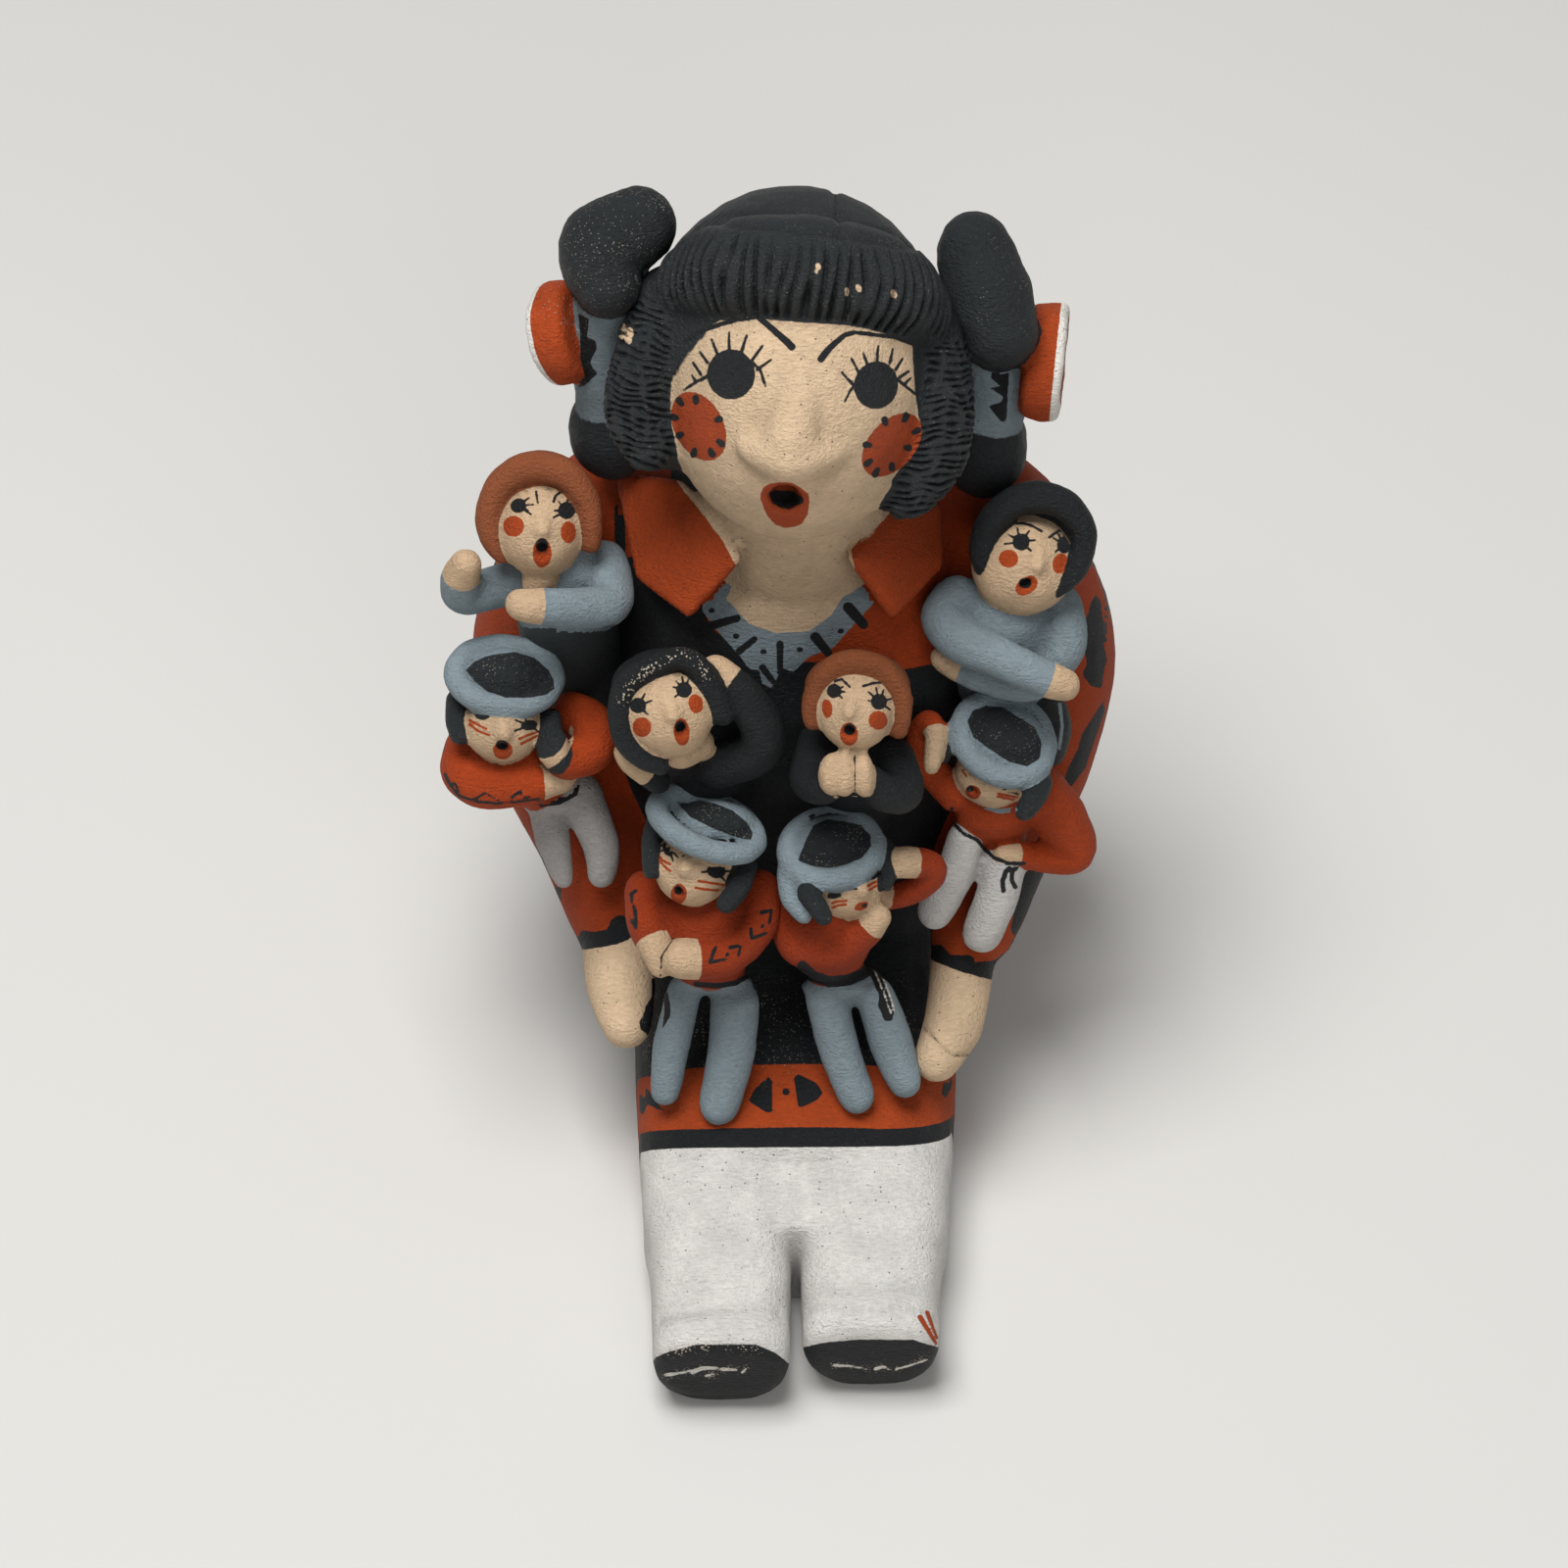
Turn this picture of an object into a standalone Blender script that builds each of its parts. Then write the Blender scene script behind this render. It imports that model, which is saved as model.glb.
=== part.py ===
"""A storyteller figure of fired clay: a seated singing woman with eight children held on her arms and lap.

The real object is modelled from balls, rolls and flat pieces of clay that are pressed together while wet,
smoothed over with a wet finger and fired as one piece. This script does the same. Balls, rolls, blocks and
flaps are pressed into one mass, the joints are smoothed, and the mouths are poked in at the end.

The figure sits on the ground at z = 0 and faces -Y. Her left arm is on the +X side.
All forms are in parts of the figure's own height, and one part is about a millimetre on the real object.
"""

import math

import bmesh
import bpy
from mathutils import Euler, Matrix, Vector

FIGURE_HEIGHT = 0.225
HEIGHT_IN_PARTS = 225.0
PART = FIGURE_HEIGHT / HEIGHT_IN_PARTS

# From the torso's axis to the middle of the whole outline, which is moved to the origin, in parts.
AXIS_TO_MIDDLE = Vector((2.6, 45.0, 0.0))

# Fineness of the mass of clay, in parts, and of the finished surface.
GRAIN = 0.9
SURFACE_TRIANGLES = 8900
SMOOTHING_PASSES = 4
BELOW_GROUND = 4.0

SIDES = 24
STEPS_ALONG = 6

# The sine and cosine at each ring of a rounded end.
ROUND_END = [(math.sin(math.radians(angle)), math.cos(math.radians(angle))) for angle in (25, 50, 75, 88)]


class Clay:
    """Closed forms of clay that may run into one another."""

    def __init__(self):
        self.points = []
        self.faces = []

    def skin(self, rings):
        """A closed skin over rings of points, where an end ring may be a single point."""
        starts = []
        for ring in rings:
            starts.append(len(self.points))
            self.points.extend(ring)
        for first, second, a, b in zip(rings, rings[1:], starts, starts[1:]):
            for k in range(SIDES):
                following = (k + 1) % SIDES
                if len(first) == 1:
                    self.faces.append((a, b + following, b + k))
                elif len(second) == 1:
                    self.faces.append((a + k, a + following, b))
                else:
                    self.faces.append((a + k, a + following, b + following, b + k))
        if len(rings[0]) > 1:
            self.faces.append([starts[0] + k for k in reversed(range(SIDES))])
        if len(rings[-1]) > 1:
            self.faces.append([starts[-1] + k for k in range(SIDES)])

    def ball(self, frame, radii):
        """A ball, flattened or drawn out to three radii in its own frame."""
        rings = [[frame @ Vector((0, 0, -radii[2]))]]
        for step in range(1, SIDES // 2):
            polar = 2 * math.pi * step / SIDES
            ring = []
            for k in range(SIDES):
                around = 2 * math.pi * k / SIDES
                x = radii[0] * math.sin(polar) * math.cos(around)
                y = radii[1] * math.sin(polar) * math.sin(around)
                ring.append(frame @ Vector((x, y, -radii[2] * math.cos(polar))))
            rings.append(ring)
        rings.append([frame @ Vector((0, 0, radii[2]))])
        self.skin(rings)

    def roll(self, points, radii):
        """A rolled coil along a smooth path, with its own thickness at each point and round ends."""
        knots = [Vector(point) for point in points]
        path, sizes = [], []
        for i in range(len(knots) - 1):
            before = knots[i - 1] if i else knots[i]
            after = knots[i + 2] if i + 2 < len(knots) else knots[i + 1]
            for step in range(STEPS_ALONG):
                path.append(between(before, knots[i], knots[i + 1], after, step / STEPS_ALONG))
                sizes.append(radii[i] + (radii[i + 1] - radii[i]) * step / STEPS_ALONG)
        path.append(knots[-1])
        sizes.append(radii[-1])
        ahead = [(b - a).normalized() for a, b in zip(path, path[1:])]
        ahead.append(ahead[-1])
        start, end = path[0], path[-1]
        for sine, cosine in ROUND_END:
            path = [start - ahead[0] * radii[0] * sine] + path + [end + ahead[-1] * radii[-1] * sine]
            sizes = [radii[0] * cosine] + sizes + [radii[-1] * cosine]
            ahead = ahead[:1] + ahead + ahead[-1:]
        side = ahead[0].orthogonal()
        rings = []
        for centre, size, forward in zip(path, sizes, ahead):
            side = (side - forward * side.dot(forward)).normalized()
            rings.append(circle(centre, side * size, forward.cross(side) * size))
        self.skin(rings)

    def block(self, stations, across, upward):
        """A shaped block, pushed out through sections that are each a rounded square.

        A station is its middle, half its width, half its height and its squareness, from 2 for an ellipse up.
        """
        rings = []
        for middle, half_width, half_height, squareness in stations:
            ring = []
            for k in range(SIDES):
                c, s = math.cos(2 * math.pi * k / SIDES), math.sin(2 * math.pi * k / SIDES)
                x = math.copysign(abs(c) ** (2 / squareness), c) * half_width
                y = math.copysign(abs(s) ** (2 / squareness), s) * half_height
                ring.append(Vector(middle) + Vector(across) * x + Vector(upward) * y)
            rings.append(ring)
        self.skin(rings)

    def flap(self, corners, thickness):
        """A flat piece of clay with round edges, stretched over its corners."""
        shape = bmesh.new()
        for corner in corners:
            place = Matrix.Translation(Vector(corner))
            bmesh.ops.create_icosphere(shape, subdivisions=2, radius=thickness / 2, matrix=place)
        hull = bmesh.ops.convex_hull(shape, input=shape.verts)
        inside = [item for item in hull["geom_interior"] if isinstance(item, bmesh.types.BMVert)]
        bmesh.ops.delete(shape, geom=inside, context="VERTS")
        shape.verts.index_update()
        start = len(self.points)
        self.points.extend(vert.co.copy() for vert in shape.verts)
        self.faces.extend([start + vert.index for vert in face.verts] for face in shape.faces)
        shape.free()


def circle(centre, side, up):
    angles = [2 * math.pi * k / SIDES for k in range(SIDES)]
    return [centre + side * math.cos(angle) + up * math.sin(angle) for angle in angles]


def between(before, start, end, after, t):
    """A point on the smooth curve from start to end."""
    pull_out = (end - before) / 2
    pull_in = (after - start) / 2
    a = 2 * t ** 3 - 3 * t ** 2 + 1
    b = t ** 3 - 2 * t ** 2 + t
    return start * a + pull_out * b + end * (1 - a) + pull_in * (t ** 3 - t ** 2)


def placed(centre, turn=(0.0, 0.0, 0.0)):
    """The place and turn, in degrees about X, Y and Z, of a form."""
    angles = Euler([math.radians(angle) for angle in turn], "XYZ")
    return Matrix.Translation(Vector(centre)) @ angles.to_matrix().to_4x4()


def mirrored(points, side):
    """The same points on her left, where side is 1, or on her right, where it is -1."""
    return [(x * side, y, z) for x, y, z in points]


class Head:
    """A head's own frame: x to its left cheek, y up its face and z out of its face."""

    def __init__(self, centre, turned, tilted, leaning, size=1.0):
        facing = Matrix.Rotation(math.radians(turned), 4, "Z")
        facing @= Matrix.Rotation(math.radians(90 - tilted), 4, "X")
        facing @= Matrix.Rotation(math.radians(leaning), 4, "Z")
        self.frame = Matrix.Translation(Vector(centre)) @ facing @ Matrix.Scale(size, 4)
        self.size = size

    def ball(self, clay, centre, radii):
        clay.ball(self.frame @ Matrix.Translation(Vector(centre)), radii)

    def roll(self, clay, points, radii):
        clay.roll([self.frame @ Vector(point) for point in points], [self.size * radius for radius in radii])

    def mouth(self, cutters, centre, width, height, depth):
        """A mouth is poked straight into the face and narrows inward."""
        x, y, z = centre
        stations = [
            (self.frame @ Vector((x, y, z - depth)), width * 0.3, height * 0.3, 2),
            (self.frame @ Vector((x, y, z + depth)), width * 0.7, height * 0.7, 2),
        ]
        turn = self.frame.to_3x3()
        cutters.block(stations, across=turn @ Vector((1, 0, 0)), upward=turn @ Vector((0, 1, 0)))


def mother_torso(clay):
    sections = [
        ((0, 2, -BELOW_GROUND), 42, 43, 2.4),
        ((0, 2, 6), 44, 45, 2.4),
        ((0, 1, 40), 43, 44, 2.4),
        ((0, 0, 80), 42, 38, 2.3),
        ((0, 1, 108), 42, 36, 2.3),
        ((0, 2, 124), 38, 33, 2.2),
        ((0, 2, 134), 31, 29, 2.1),
        ((0, 3, 141), 18, 20, 2.0),
    ]
    clay.block(sections, across=(1, 0, 0), upward=(0, 1, 0))


def mother_lap(clay):
    """The skirt over the thighs, down to the hem."""
    sections = [
        ((0, -20, 16), 36, 26, 3.2),
        ((0, -45, 16), 36, 25, 3.2),
        ((0, -70, 14), 35, 21, 3.6),
        ((0, -88, 13), 34, 18, 3.8),
        ((0, -90, 13), 33, 16.5, 3.8),
    ]
    clay.block(sections, across=(1, 0, 0), upward=(0, 0, 1))


def mother_leg(clay, side, length):
    """One straight leg, from under the skirt to the sole, where length is the sole's distance forward."""
    knee, ankle = side * 16.9, side * 16.2
    sections = [
        ((knee, -70, 12.5), 16.7, 16.0, 3.4),
        ((knee, -92, 12.5), 16.7, 16.2, 3.4),
        ((ankle, -length + 19, 11.5), 15.0, 15.0, 3.2),
        ((ankle, -length + 12, 10.5), 14.9, 13.6, 3.2),
        ((ankle, -length + 5, 11.5), 14.9, 14.4, 3.2),
        ((ankle, -length + 1.5, 13), 14.2, 11.5, 3.0),
        ((ankle, -length, 14), 12.0, 7.5, 2.6),
    ]
    clay.block(sections, across=(1, 0, 0), upward=(0, 0, 1))


def mother_arm(clay, side, elbow_out, forearm, thickness):
    """One arm, from the shoulder out to the elbow and in to the hand on the lap's edge."""
    sleeve = [(38, 8, 118), (elbow_out, 3, 92), (elbow_out - 2, -10, 71), (43, -28, 58), (39, -41, 47.5)]
    clay.roll(mirrored(sleeve, side), [21, 18, 16.5, 13, 10])
    clay.roll(mirrored(forearm, side), thickness)


def mother_neck(clay):
    clay.roll([(0, -2, 128), (0, -7, 145), (0, -8, 165)], [24, 22, 22])


def mother_head(clay, cutters):
    head = Head((-1, -4, 184), turned=2, tilted=38, leaning=-8)
    head.ball(clay, (2, -5, 1), (27.5, 32, 32))
    # The nose.
    head.roll(clay, [(1, 6, 26), (0, -5, 29.5), (-2, -14.5, 32)], [4.5, 6.0, 7.2])
    # The cap of hair, the fringe over the forehead and the crimped hair beside the cheeks.
    head.ball(clay, (0, 4, -6), (31, 32, 31))
    fringe = [(-22, 15, 10), (-14, 19, 17), (0, 21, 21), (15, 19, 17), (23, 14, 10)]
    head.roll(clay, fringe, [8, 10.5, 11.5, 10.5, 8])
    for side in (-1, 1):
        lock = [(side * 25, 10, 3), (side * 28.5, -2, 7), (side * 29, -14, 9), (side * 26, -23, 10)]
        head.roll(clay, lock, [9, 9.5, 10, 8])
        head.ball(clay, (side * 24, -8, 0), (13, 21, 14))
    hair_knot(clay, [(-37, 8, 204), (-41, 5, 180), (-40, 3, 158)], radii=(12.5, 13, 14), leaning=14)
    hair_knot(clay, [(38.5, 8, 193), (42, 5, 171), (41, 3, 153)], radii=(11.5, 13, 16.5), leaning=-12)
    ear_disc(clay, centre=(-50, 6, 186), outward=(-0.94, 0.26, -0.2), radius=11.5)
    ear_disc(clay, centre=(51, 5, 177), outward=(0.98, -0.1, -0.14), radius=12.5)
    head.mouth(cutters, (-2, -27, 28), width=9.5, height=8.5, depth=8)


def hair_knot(clay, path, radii, leaning):
    """A knot of hair with a large ball above, a small one below and a tie between them."""
    clay.ball(placed(path[0], (0, leaning, 0)), radii)
    clay.ball(placed(path[2]), (9.5, 10.5, 12))
    clay.roll(path, [8, 7.5, 8])


def ear_disc(clay, centre, outward, radius):
    """A thick round ear ornament on the outer side of a knot."""
    axis = Vector(outward).normalized()
    side = axis.orthogonal().normalized()
    up = axis.cross(side)
    middle = Vector(centre)
    stations = [(-4, radius * 0.8), (-3, radius * 0.95), (0, radius), (3, radius * 0.98), (4, radius * 0.85)]
    clay.skin([circle(middle + axis * along, side * size, up * size) for along, size in stations])


def girl_hair(clay, head):
    """A bobbed head of hair: a cap and a thick rim that frames the face."""
    head.ball(clay, (0, 2, -4), (12.4, 12.8, 10))
    side = [(11.2, -3, 1.5), (9.8, 6, 2.5)]
    rim = [(-9.5, -10, 1.5)] + mirrored(side, -1) + [(0, 11.4, 3.5)] + side[::-1] + [(9.5, -9, 1.5)]
    head.roll(clay, rim, [2.4, 2.8, 3.0, 3.4, 3.0, 2.8, 2.4])


def boy_hair(clay, head):
    """A cap of hair in a thick headband, with a lock beside each cheek."""
    head.ball(clay, (0, 4, -2), (10.5, 8.5, 10.5))
    ring = []
    for k in range(13):
        angle = 2 * math.pi * k / 12
        ring.append((10.6 * math.sin(angle), 8, -0.8 + 10.4 * math.cos(angle)))
    head.roll(clay, ring, [2.9] * 13)
    for side in (-1, 1):
        head.roll(clay, [(side * 9.6, 4, 2), (side * 10.4, -3, 2), (side * 9.6, -9, 2)], [2.6, 3.0, 2.6])


def child(clay, cutters, head, hair, torso, arms, legs):
    """One child: a face and its hair, a torso, two arms that end in hands, and two legs or a skirt."""
    head.ball(clay, (0, -0.5, 1), (10, 11, 9.8))
    head.roll(clay, [(0, 1, 9.2), (0, -1, 10.4)], [1.6, 2.0])
    hair(clay, head)
    head.mouth(cutters, (0, -6.2, 8.6), width=3.6, height=5.0, depth=3.4)
    for path, thickness in [torso] + arms + legs:
        clay.roll(path, thickness)


def shoulder_girl_right(clay, cutters):
    """She sits on the mother's right arm and lifts her right fist."""
    child(
        clay,
        cutters,
        Head((-52.5, -14, 148), turned=-3, tilted=36, leaning=-3, size=1.03),
        girl_hair,
        torso=([(-50, -14, 130), (-47, -20, 119), (-44, -25, 106), (-42, -27, 96)], [11, 12, 12, 10]),
        arms=[
            ([(-57, -15, 129), (-68, -18, 127), (-70.5, -21, 133), (-68.5, -24, 143)], [4.8, 4.8, 4.4, 3.8]),
            ([(-42, -16, 133), (-38.5, -23, 131), (-45, -30, 136), (-56, -32, 140)], [5.4, 5.2, 4.2, 3.9]),
        ],
        legs=[],
    )


def shoulder_girl_left(clay, cutters):
    """She sits on the mother's left arm with crossed arms, and her legs hang behind the child below."""
    child(
        clay,
        cutters,
        Head((48, -16, 142.5), turned=8, tilted=30, leaning=-12, size=1.04),
        girl_hair,
        torso=([(46, -17, 125), (45, -21, 113), (44, -24, 102)], [12, 12.5, 11]),
        arms=[
            ([(36, -16, 127), (31.5, -23, 124.5), (42, -32, 124), (56, -34, 118)], [5.6, 5.4, 4.8, 4]),
            ([(55, -17, 126), (58, -22, 116), (47, -28, 114), (31, -30, 121)], [5, 5, 4, 3.2]),
        ],
        legs=[([(50, -24, 104), (54, -26, 96), (55, -27, 86)], [6, 5.4, 4.6])],
    )


def arm_boy_right(clay, cutters):
    """The boy on the mother's right forearm, with one hand at his cheek."""
    child(
        clay,
        cutters,
        Head((-60.5, -33, 108.5), turned=-4, tilted=20, leaning=-5),
        boy_hair,
        torso=([(-58, -30, 96), (-54, -31, 85)], [12, 10]),
        arms=[
            ([(-68, -30, 98), (-68.5, -38, 92), (-60, -42, 92), (-50, -41, 95)], [5, 5.2, 4.6, 3.6]),
            ([(-48, -29, 100), (-42, -35, 101), (-45, -40, 102.5), (-50, -40, 106)], [5.2, 5.8, 4.6, 3.4]),
        ],
        legs=[
            ([(-57, -32, 84), (-53.5, -38, 76), (-51, -42, 68)], [6, 4.8, 3.6]),
            ([(-48, -33, 85), (-43, -39, 76), (-42, -43, 69)], [6.2, 5.4, 4]),
        ],
    )


def arm_boy_left(clay, cutters):
    """The boy on the mother's left forearm, one hand raised and the other on his hip."""
    child(
        clay,
        cutters,
        Head((43, -36, 99), turned=-30, tilted=8, leaning=-14),
        boy_hair,
        torso=([(43, -34, 87), (44, -37, 75)], [11.5, 10]),
        arms=[
            ([(34, -35, 92), (27, -38, 103), (27, -40, 109), (29, -43, 107)], [4.4, 4.4, 3.8, 3.2]),
            ([(52, -35, 84), (59.5, -37, 70), (55, -42, 68), (46, -46, 74)], [5.2, 6, 5.4, 3.4]),
        ],
        legs=[
            ([(37.5, -41, 75), (34, -45, 68), (31, -47, 60)], [5.6, 5.2, 4.6]),
            ([(46, -43, 71), (43, -48, 65), (40.5, -50, 58)], [5.8, 5.4, 5]),
        ],
    )


def chest_girl_right(clay, cutters):
    """The girl on the mother's chest who leans her head on her hand."""
    child(
        clay,
        cutters,
        Head((-27, -46, 126), turned=6, tilted=38, leaning=22),
        girl_hair,
        torso=([(-20, -42, 108), (-19, -43, 92), (-18, -43, 84)], [12, 11.5, 10]),
        arms=[
            ([(-14, -44, 106), (-7, -46, 112), (-7.5, -45, 123), (-16, -42, 131)], [4.8, 5.2, 5, 3.6]),
            ([(-29, -42, 106), (-34, -46, 105), (-35, -49, 110)], [4.6, 4.2, 3.8]),
        ],
        legs=[],
    )


def chest_girl_left(clay, cutters):
    """The girl on the mother's chest with her hands pressed together."""
    child(
        clay,
        cutters,
        Head((12.3, -46, 127.5), turned=-4, tilted=34, leaning=-5, size=0.97),
        girl_hair,
        torso=([(12, -42, 108), (12, -44, 92), (12, -44, 82)], [12, 12, 11]),
        arms=[
            ([(4, -43, 109), (2, -50, 104), (8, -58, 113), (9.2, -59.5, 118)], [5.2, 5.4, 4.2, 3.8]),
            ([(21, -43, 108), (23, -50, 102), (16, -57, 112), (13.6, -59.5, 118)], [5.4, 5.8, 4.4, 3.6]),
        ],
        legs=[],
    )


def lap_boy_right(clay, cutters):
    """The boy on the mother's lap who clasps his hands."""
    child(
        clay,
        cutters,
        Head((-20.5, -58, 90.5), turned=-15, tilted=30, leaning=-13, size=1.03),
        boy_hair,
        torso=([(-19, -55, 77), (-18.5, -56, 65), (-18.5, -56, 54)], [12, 13, 11.5]),
        arms=[
            ([(-29, -57, 78), (-32, -64, 72), (-27, -70, 70)], [5.2, 5, 4.6]),
            ([(-8, -57, 77), (-6, -64, 68), (-12, -69, 69), (-20, -72, 71)], [5.6, 5.6, 5, 4.8]),
        ],
        legs=[
            ([(-25, -60, 50), (-27, -69, 43.5), (-28, -79, 38.5)], [5.8, 4.8, 4.4]),
            ([(-14, -60, 50), (-14.2, -70, 43.5), (-16, -82.5, 38)], [7.5, 6, 5.2]),
        ],
    )


def lap_boy_left(clay, cutters):
    """The boy on the mother's lap who holds a hand to his hair and one to his mouth."""
    child(
        clay,
        cutters,
        Head((10, -58, 86.5), turned=24, tilted=8, leaning=12, size=0.97),
        boy_hair,
        torso=([(8, -55, 75), (8, -56, 63), (9, -56, 54)], [12, 12.5, 11]),
        arms=[
            ([(-1, -56, 73), (0, -64, 69), (11, -68, 71), (20.5, -64, 80.5)], [5.4, 5.4, 5, 3.4]),
            ([(16, -55, 74), (25, -57, 81), (28, -57, 87), (22, -56, 88)], [4.6, 4.4, 4.4, 4.2]),
        ],
        legs=[
            ([(5, -60, 50), (7.6, -70, 43.5), (12.3, -81, 38.5)], [6.8, 5.4, 4.8]),
            ([(13, -60, 50), (18.5, -68, 44), (23, -75, 40)], [6, 5.2, 5]),
        ],
    )


def packing(clay):
    """Clay pressed into the corners behind the children, where air would be trapped in the firing."""
    for corner in [(20.5, -52, 97), (33, -42, 57), (34, -30, 106)]:
        clay.ball(placed(corner), (4, 4, 4))


CHILDREN = [
    shoulder_girl_right,
    shoulder_girl_left,
    arm_boy_right,
    arm_boy_left,
    chest_girl_right,
    chest_girl_left,
    lap_boy_right,
    lap_boy_left,
]


def new_object(name, clay):
    """A named object in the scene, at its real size, with its place in its mesh."""
    mesh = bpy.data.meshes.new(name)
    mesh.from_pydata([(point + AXIS_TO_MIDDLE) * PART for point in clay.points], [], clay.faces)
    made = bpy.data.objects.new(name, mesh)
    bpy.context.scene.collection.objects.link(made)
    return made


def helper(made):
    made.hide_render = True
    made.display_type = "WIRE"
    return made


def ground_block():
    """Everything under z = 0, cut away so that the figure sits flat."""
    ground = Clay()
    reach = 200.0
    stations = [((0, 0, -reach), reach, reach, 8), ((0, 0, 0), reach, reach, 8)]
    ground.block(stations, across=(1, 0, 0), upward=(0, 1, 0))
    return helper(new_object("below_ground", ground))


def painted_clay():
    """Fired clay with a matt slip, in the red-orange of the mother's blouse."""
    material = bpy.data.materials.new("painted_clay")
    material.use_nodes = True
    shader = material.node_tree.nodes["Principled BSDF"]
    shader.inputs["Base Color"].default_value = (0.45, 0.11, 0.04, 1.0)
    shader.inputs["Roughness"].default_value = 0.8
    shader.inputs["Metallic"].default_value = 0.0
    return material


def cut(figure, cutter):
    modifier = figure.modifiers.new(f"without_{cutter.name}", "BOOLEAN")
    modifier.operation = "DIFFERENCE"
    modifier.solver = "EXACT"
    modifier.object = cutter


def main():
    for old in list(bpy.data.objects):
        bpy.data.objects.remove(old)
    clay, cutters = Clay(), Clay()
    mother_torso(clay)
    mother_lap(clay)
    mother_leg(clay, -1, length=137)
    mother_leg(clay, 1, length=133)
    right_forearm = [(39, -41, 47.5), (38.3, -56, 44.5), (37, -66, 43)]
    left_forearm = [(37, -42, 46), (35.5, -56, 41.5), (34, -64, 40), (30.5, -72, 39)]
    mother_arm(clay, -1, elbow_out=52.5, forearm=right_forearm, thickness=[7.5, 7, 4.8])
    mother_arm(clay, 1, elbow_out=51.5, forearm=left_forearm, thickness=[7.5, 6.8, 6.6, 5.2])
    mother_neck(clay)
    clay.flap([(-35, -2, 145), (-25, -9, 153), (-11, -29, 151), (-22, -32, 136), (-32, -20, 139)], 3.5)
    clay.flap([(32, -2, 142), (21, -11, 151), (10.5, -29, 153), (20.5, -32, 134), (28, -21, 136)], 3.5)
    mother_head(clay, cutters)
    for make in CHILDREN:
        make(clay, cutters)
    packing(clay)

    figure = new_object("storyteller", clay)
    figure.data.materials.append(painted_clay())
    press = figure.modifiers.new("pressed_together", "REMESH")
    press.mode = "VOXEL"
    press.voxel_size = GRAIN * PART
    wet = figure.modifiers.new("smoothed", "SMOOTH")
    wet.factor = 0.5
    wet.iterations = SMOOTHING_PASSES
    bpy.context.view_layer.update()
    pressed = figure.evaluated_get(bpy.context.evaluated_depsgraph_get())
    triangles = sum(len(face.vertices) - 2 for face in pressed.data.polygons)
    thin = figure.modifiers.new("fewer_triangles", "DECIMATE")
    thin.ratio = SURFACE_TRIANGLES / triangles
    cut(figure, ground_block())
    cut(figure, helper(new_object("mouths", cutters)))


main()
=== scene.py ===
# %% [markdown]
# # A storyteller figure in painted, fired clay
#
# The real object is a pueblo storyteller: a seated woman, a little over 22 cm tall, who sings while eight
# singing children hold on to her arms, chest and lap. It is built by hand from balls, rolls and flat pieces
# of wet clay, smoothed with a finger, painted with matt clay slips and fired as one piece.
#
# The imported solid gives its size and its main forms. This script presses the same forms together again,
# finely enough to carry combed hair, lips, cuffs and brush strokes. It then paints them coat by coat, as a
# potter does.

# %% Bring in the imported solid
import math

import bmesh
import bpy
import numpy as np
from mathutils import Matrix, Vector, noise


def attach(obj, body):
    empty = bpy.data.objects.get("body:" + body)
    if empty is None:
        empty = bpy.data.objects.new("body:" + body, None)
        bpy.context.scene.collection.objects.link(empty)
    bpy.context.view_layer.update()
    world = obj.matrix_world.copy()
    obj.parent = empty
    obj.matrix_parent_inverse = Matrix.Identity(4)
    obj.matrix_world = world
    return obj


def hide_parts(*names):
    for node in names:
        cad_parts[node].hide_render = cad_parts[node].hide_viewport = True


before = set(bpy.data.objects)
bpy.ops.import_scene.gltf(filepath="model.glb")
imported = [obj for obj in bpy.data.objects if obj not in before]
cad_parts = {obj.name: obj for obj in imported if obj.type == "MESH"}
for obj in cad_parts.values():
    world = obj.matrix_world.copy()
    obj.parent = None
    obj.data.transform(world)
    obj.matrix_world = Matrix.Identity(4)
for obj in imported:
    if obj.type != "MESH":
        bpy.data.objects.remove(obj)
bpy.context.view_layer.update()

# %% [markdown]
# ## The photograph's camera
#
# The photograph looks down at the figure from the front, at about 50 degrees. A long lens stands far back,
# so the feet and the head come out at almost one scale. The camera is made first, because every later
# choice is compared with the photograph through it.

# %% Camera
ELEVATION = math.radians(50)
DISTANCE = 1.2
FOCAL_LENGTH = 126.9
SENSOR = 36
LOOKED_AT = Vector((0.0, 0.020, 0.0755))

lens = bpy.data.cameras.new("photo_camera")
lens.sensor_width = SENSOR
lens.lens = FOCAL_LENGTH
camera = bpy.data.objects.new("photo_camera", lens)
camera.location = LOOKED_AT + DISTANCE * Vector((0, -math.cos(ELEVATION), math.sin(ELEVATION)))
camera.rotation_euler = (math.radians(90) - ELEVATION, 0, 0)
bpy.context.scene.collection.objects.link(camera)
bpy.context.scene.camera = camera
bpy.context.scene.view_settings.view_transform = "Standard"
print("The camera stands", round(DISTANCE, 2), "m away and", round(camera.location.z, 2), "m up")

# %% [markdown]
# ## Clay forms
#
# Everything on the figure starts as a ball, a rolled coil, a block or a flat flap of clay. Each is its own
# small bmesh, made with operators: a sphere that is scaled, a disc that is pushed along a path by
# extrusion, or a convex hull. The forms are worked out in millimetres around the axis of the mother's body,
# because that is how a potter would measure them. They move to the row's frame, in metres, at the very end.
#
# A form also remembers how to tell how far a point lies outside it. The paint needs that later: a point
# takes the colour of the form that it lies nearest to.

# %% A disc pushed along a path
MILLIMETRE = 0.001
AXIS_TO_MIDDLE = Vector((2.6, 45.0, 0.0))
SIDES = 24
STEPS_ALONG = 6
ROUND_END = [(math.sin(math.radians(angle)), math.cos(math.radians(angle))) for angle in (25, 50, 75, 88)]


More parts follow.
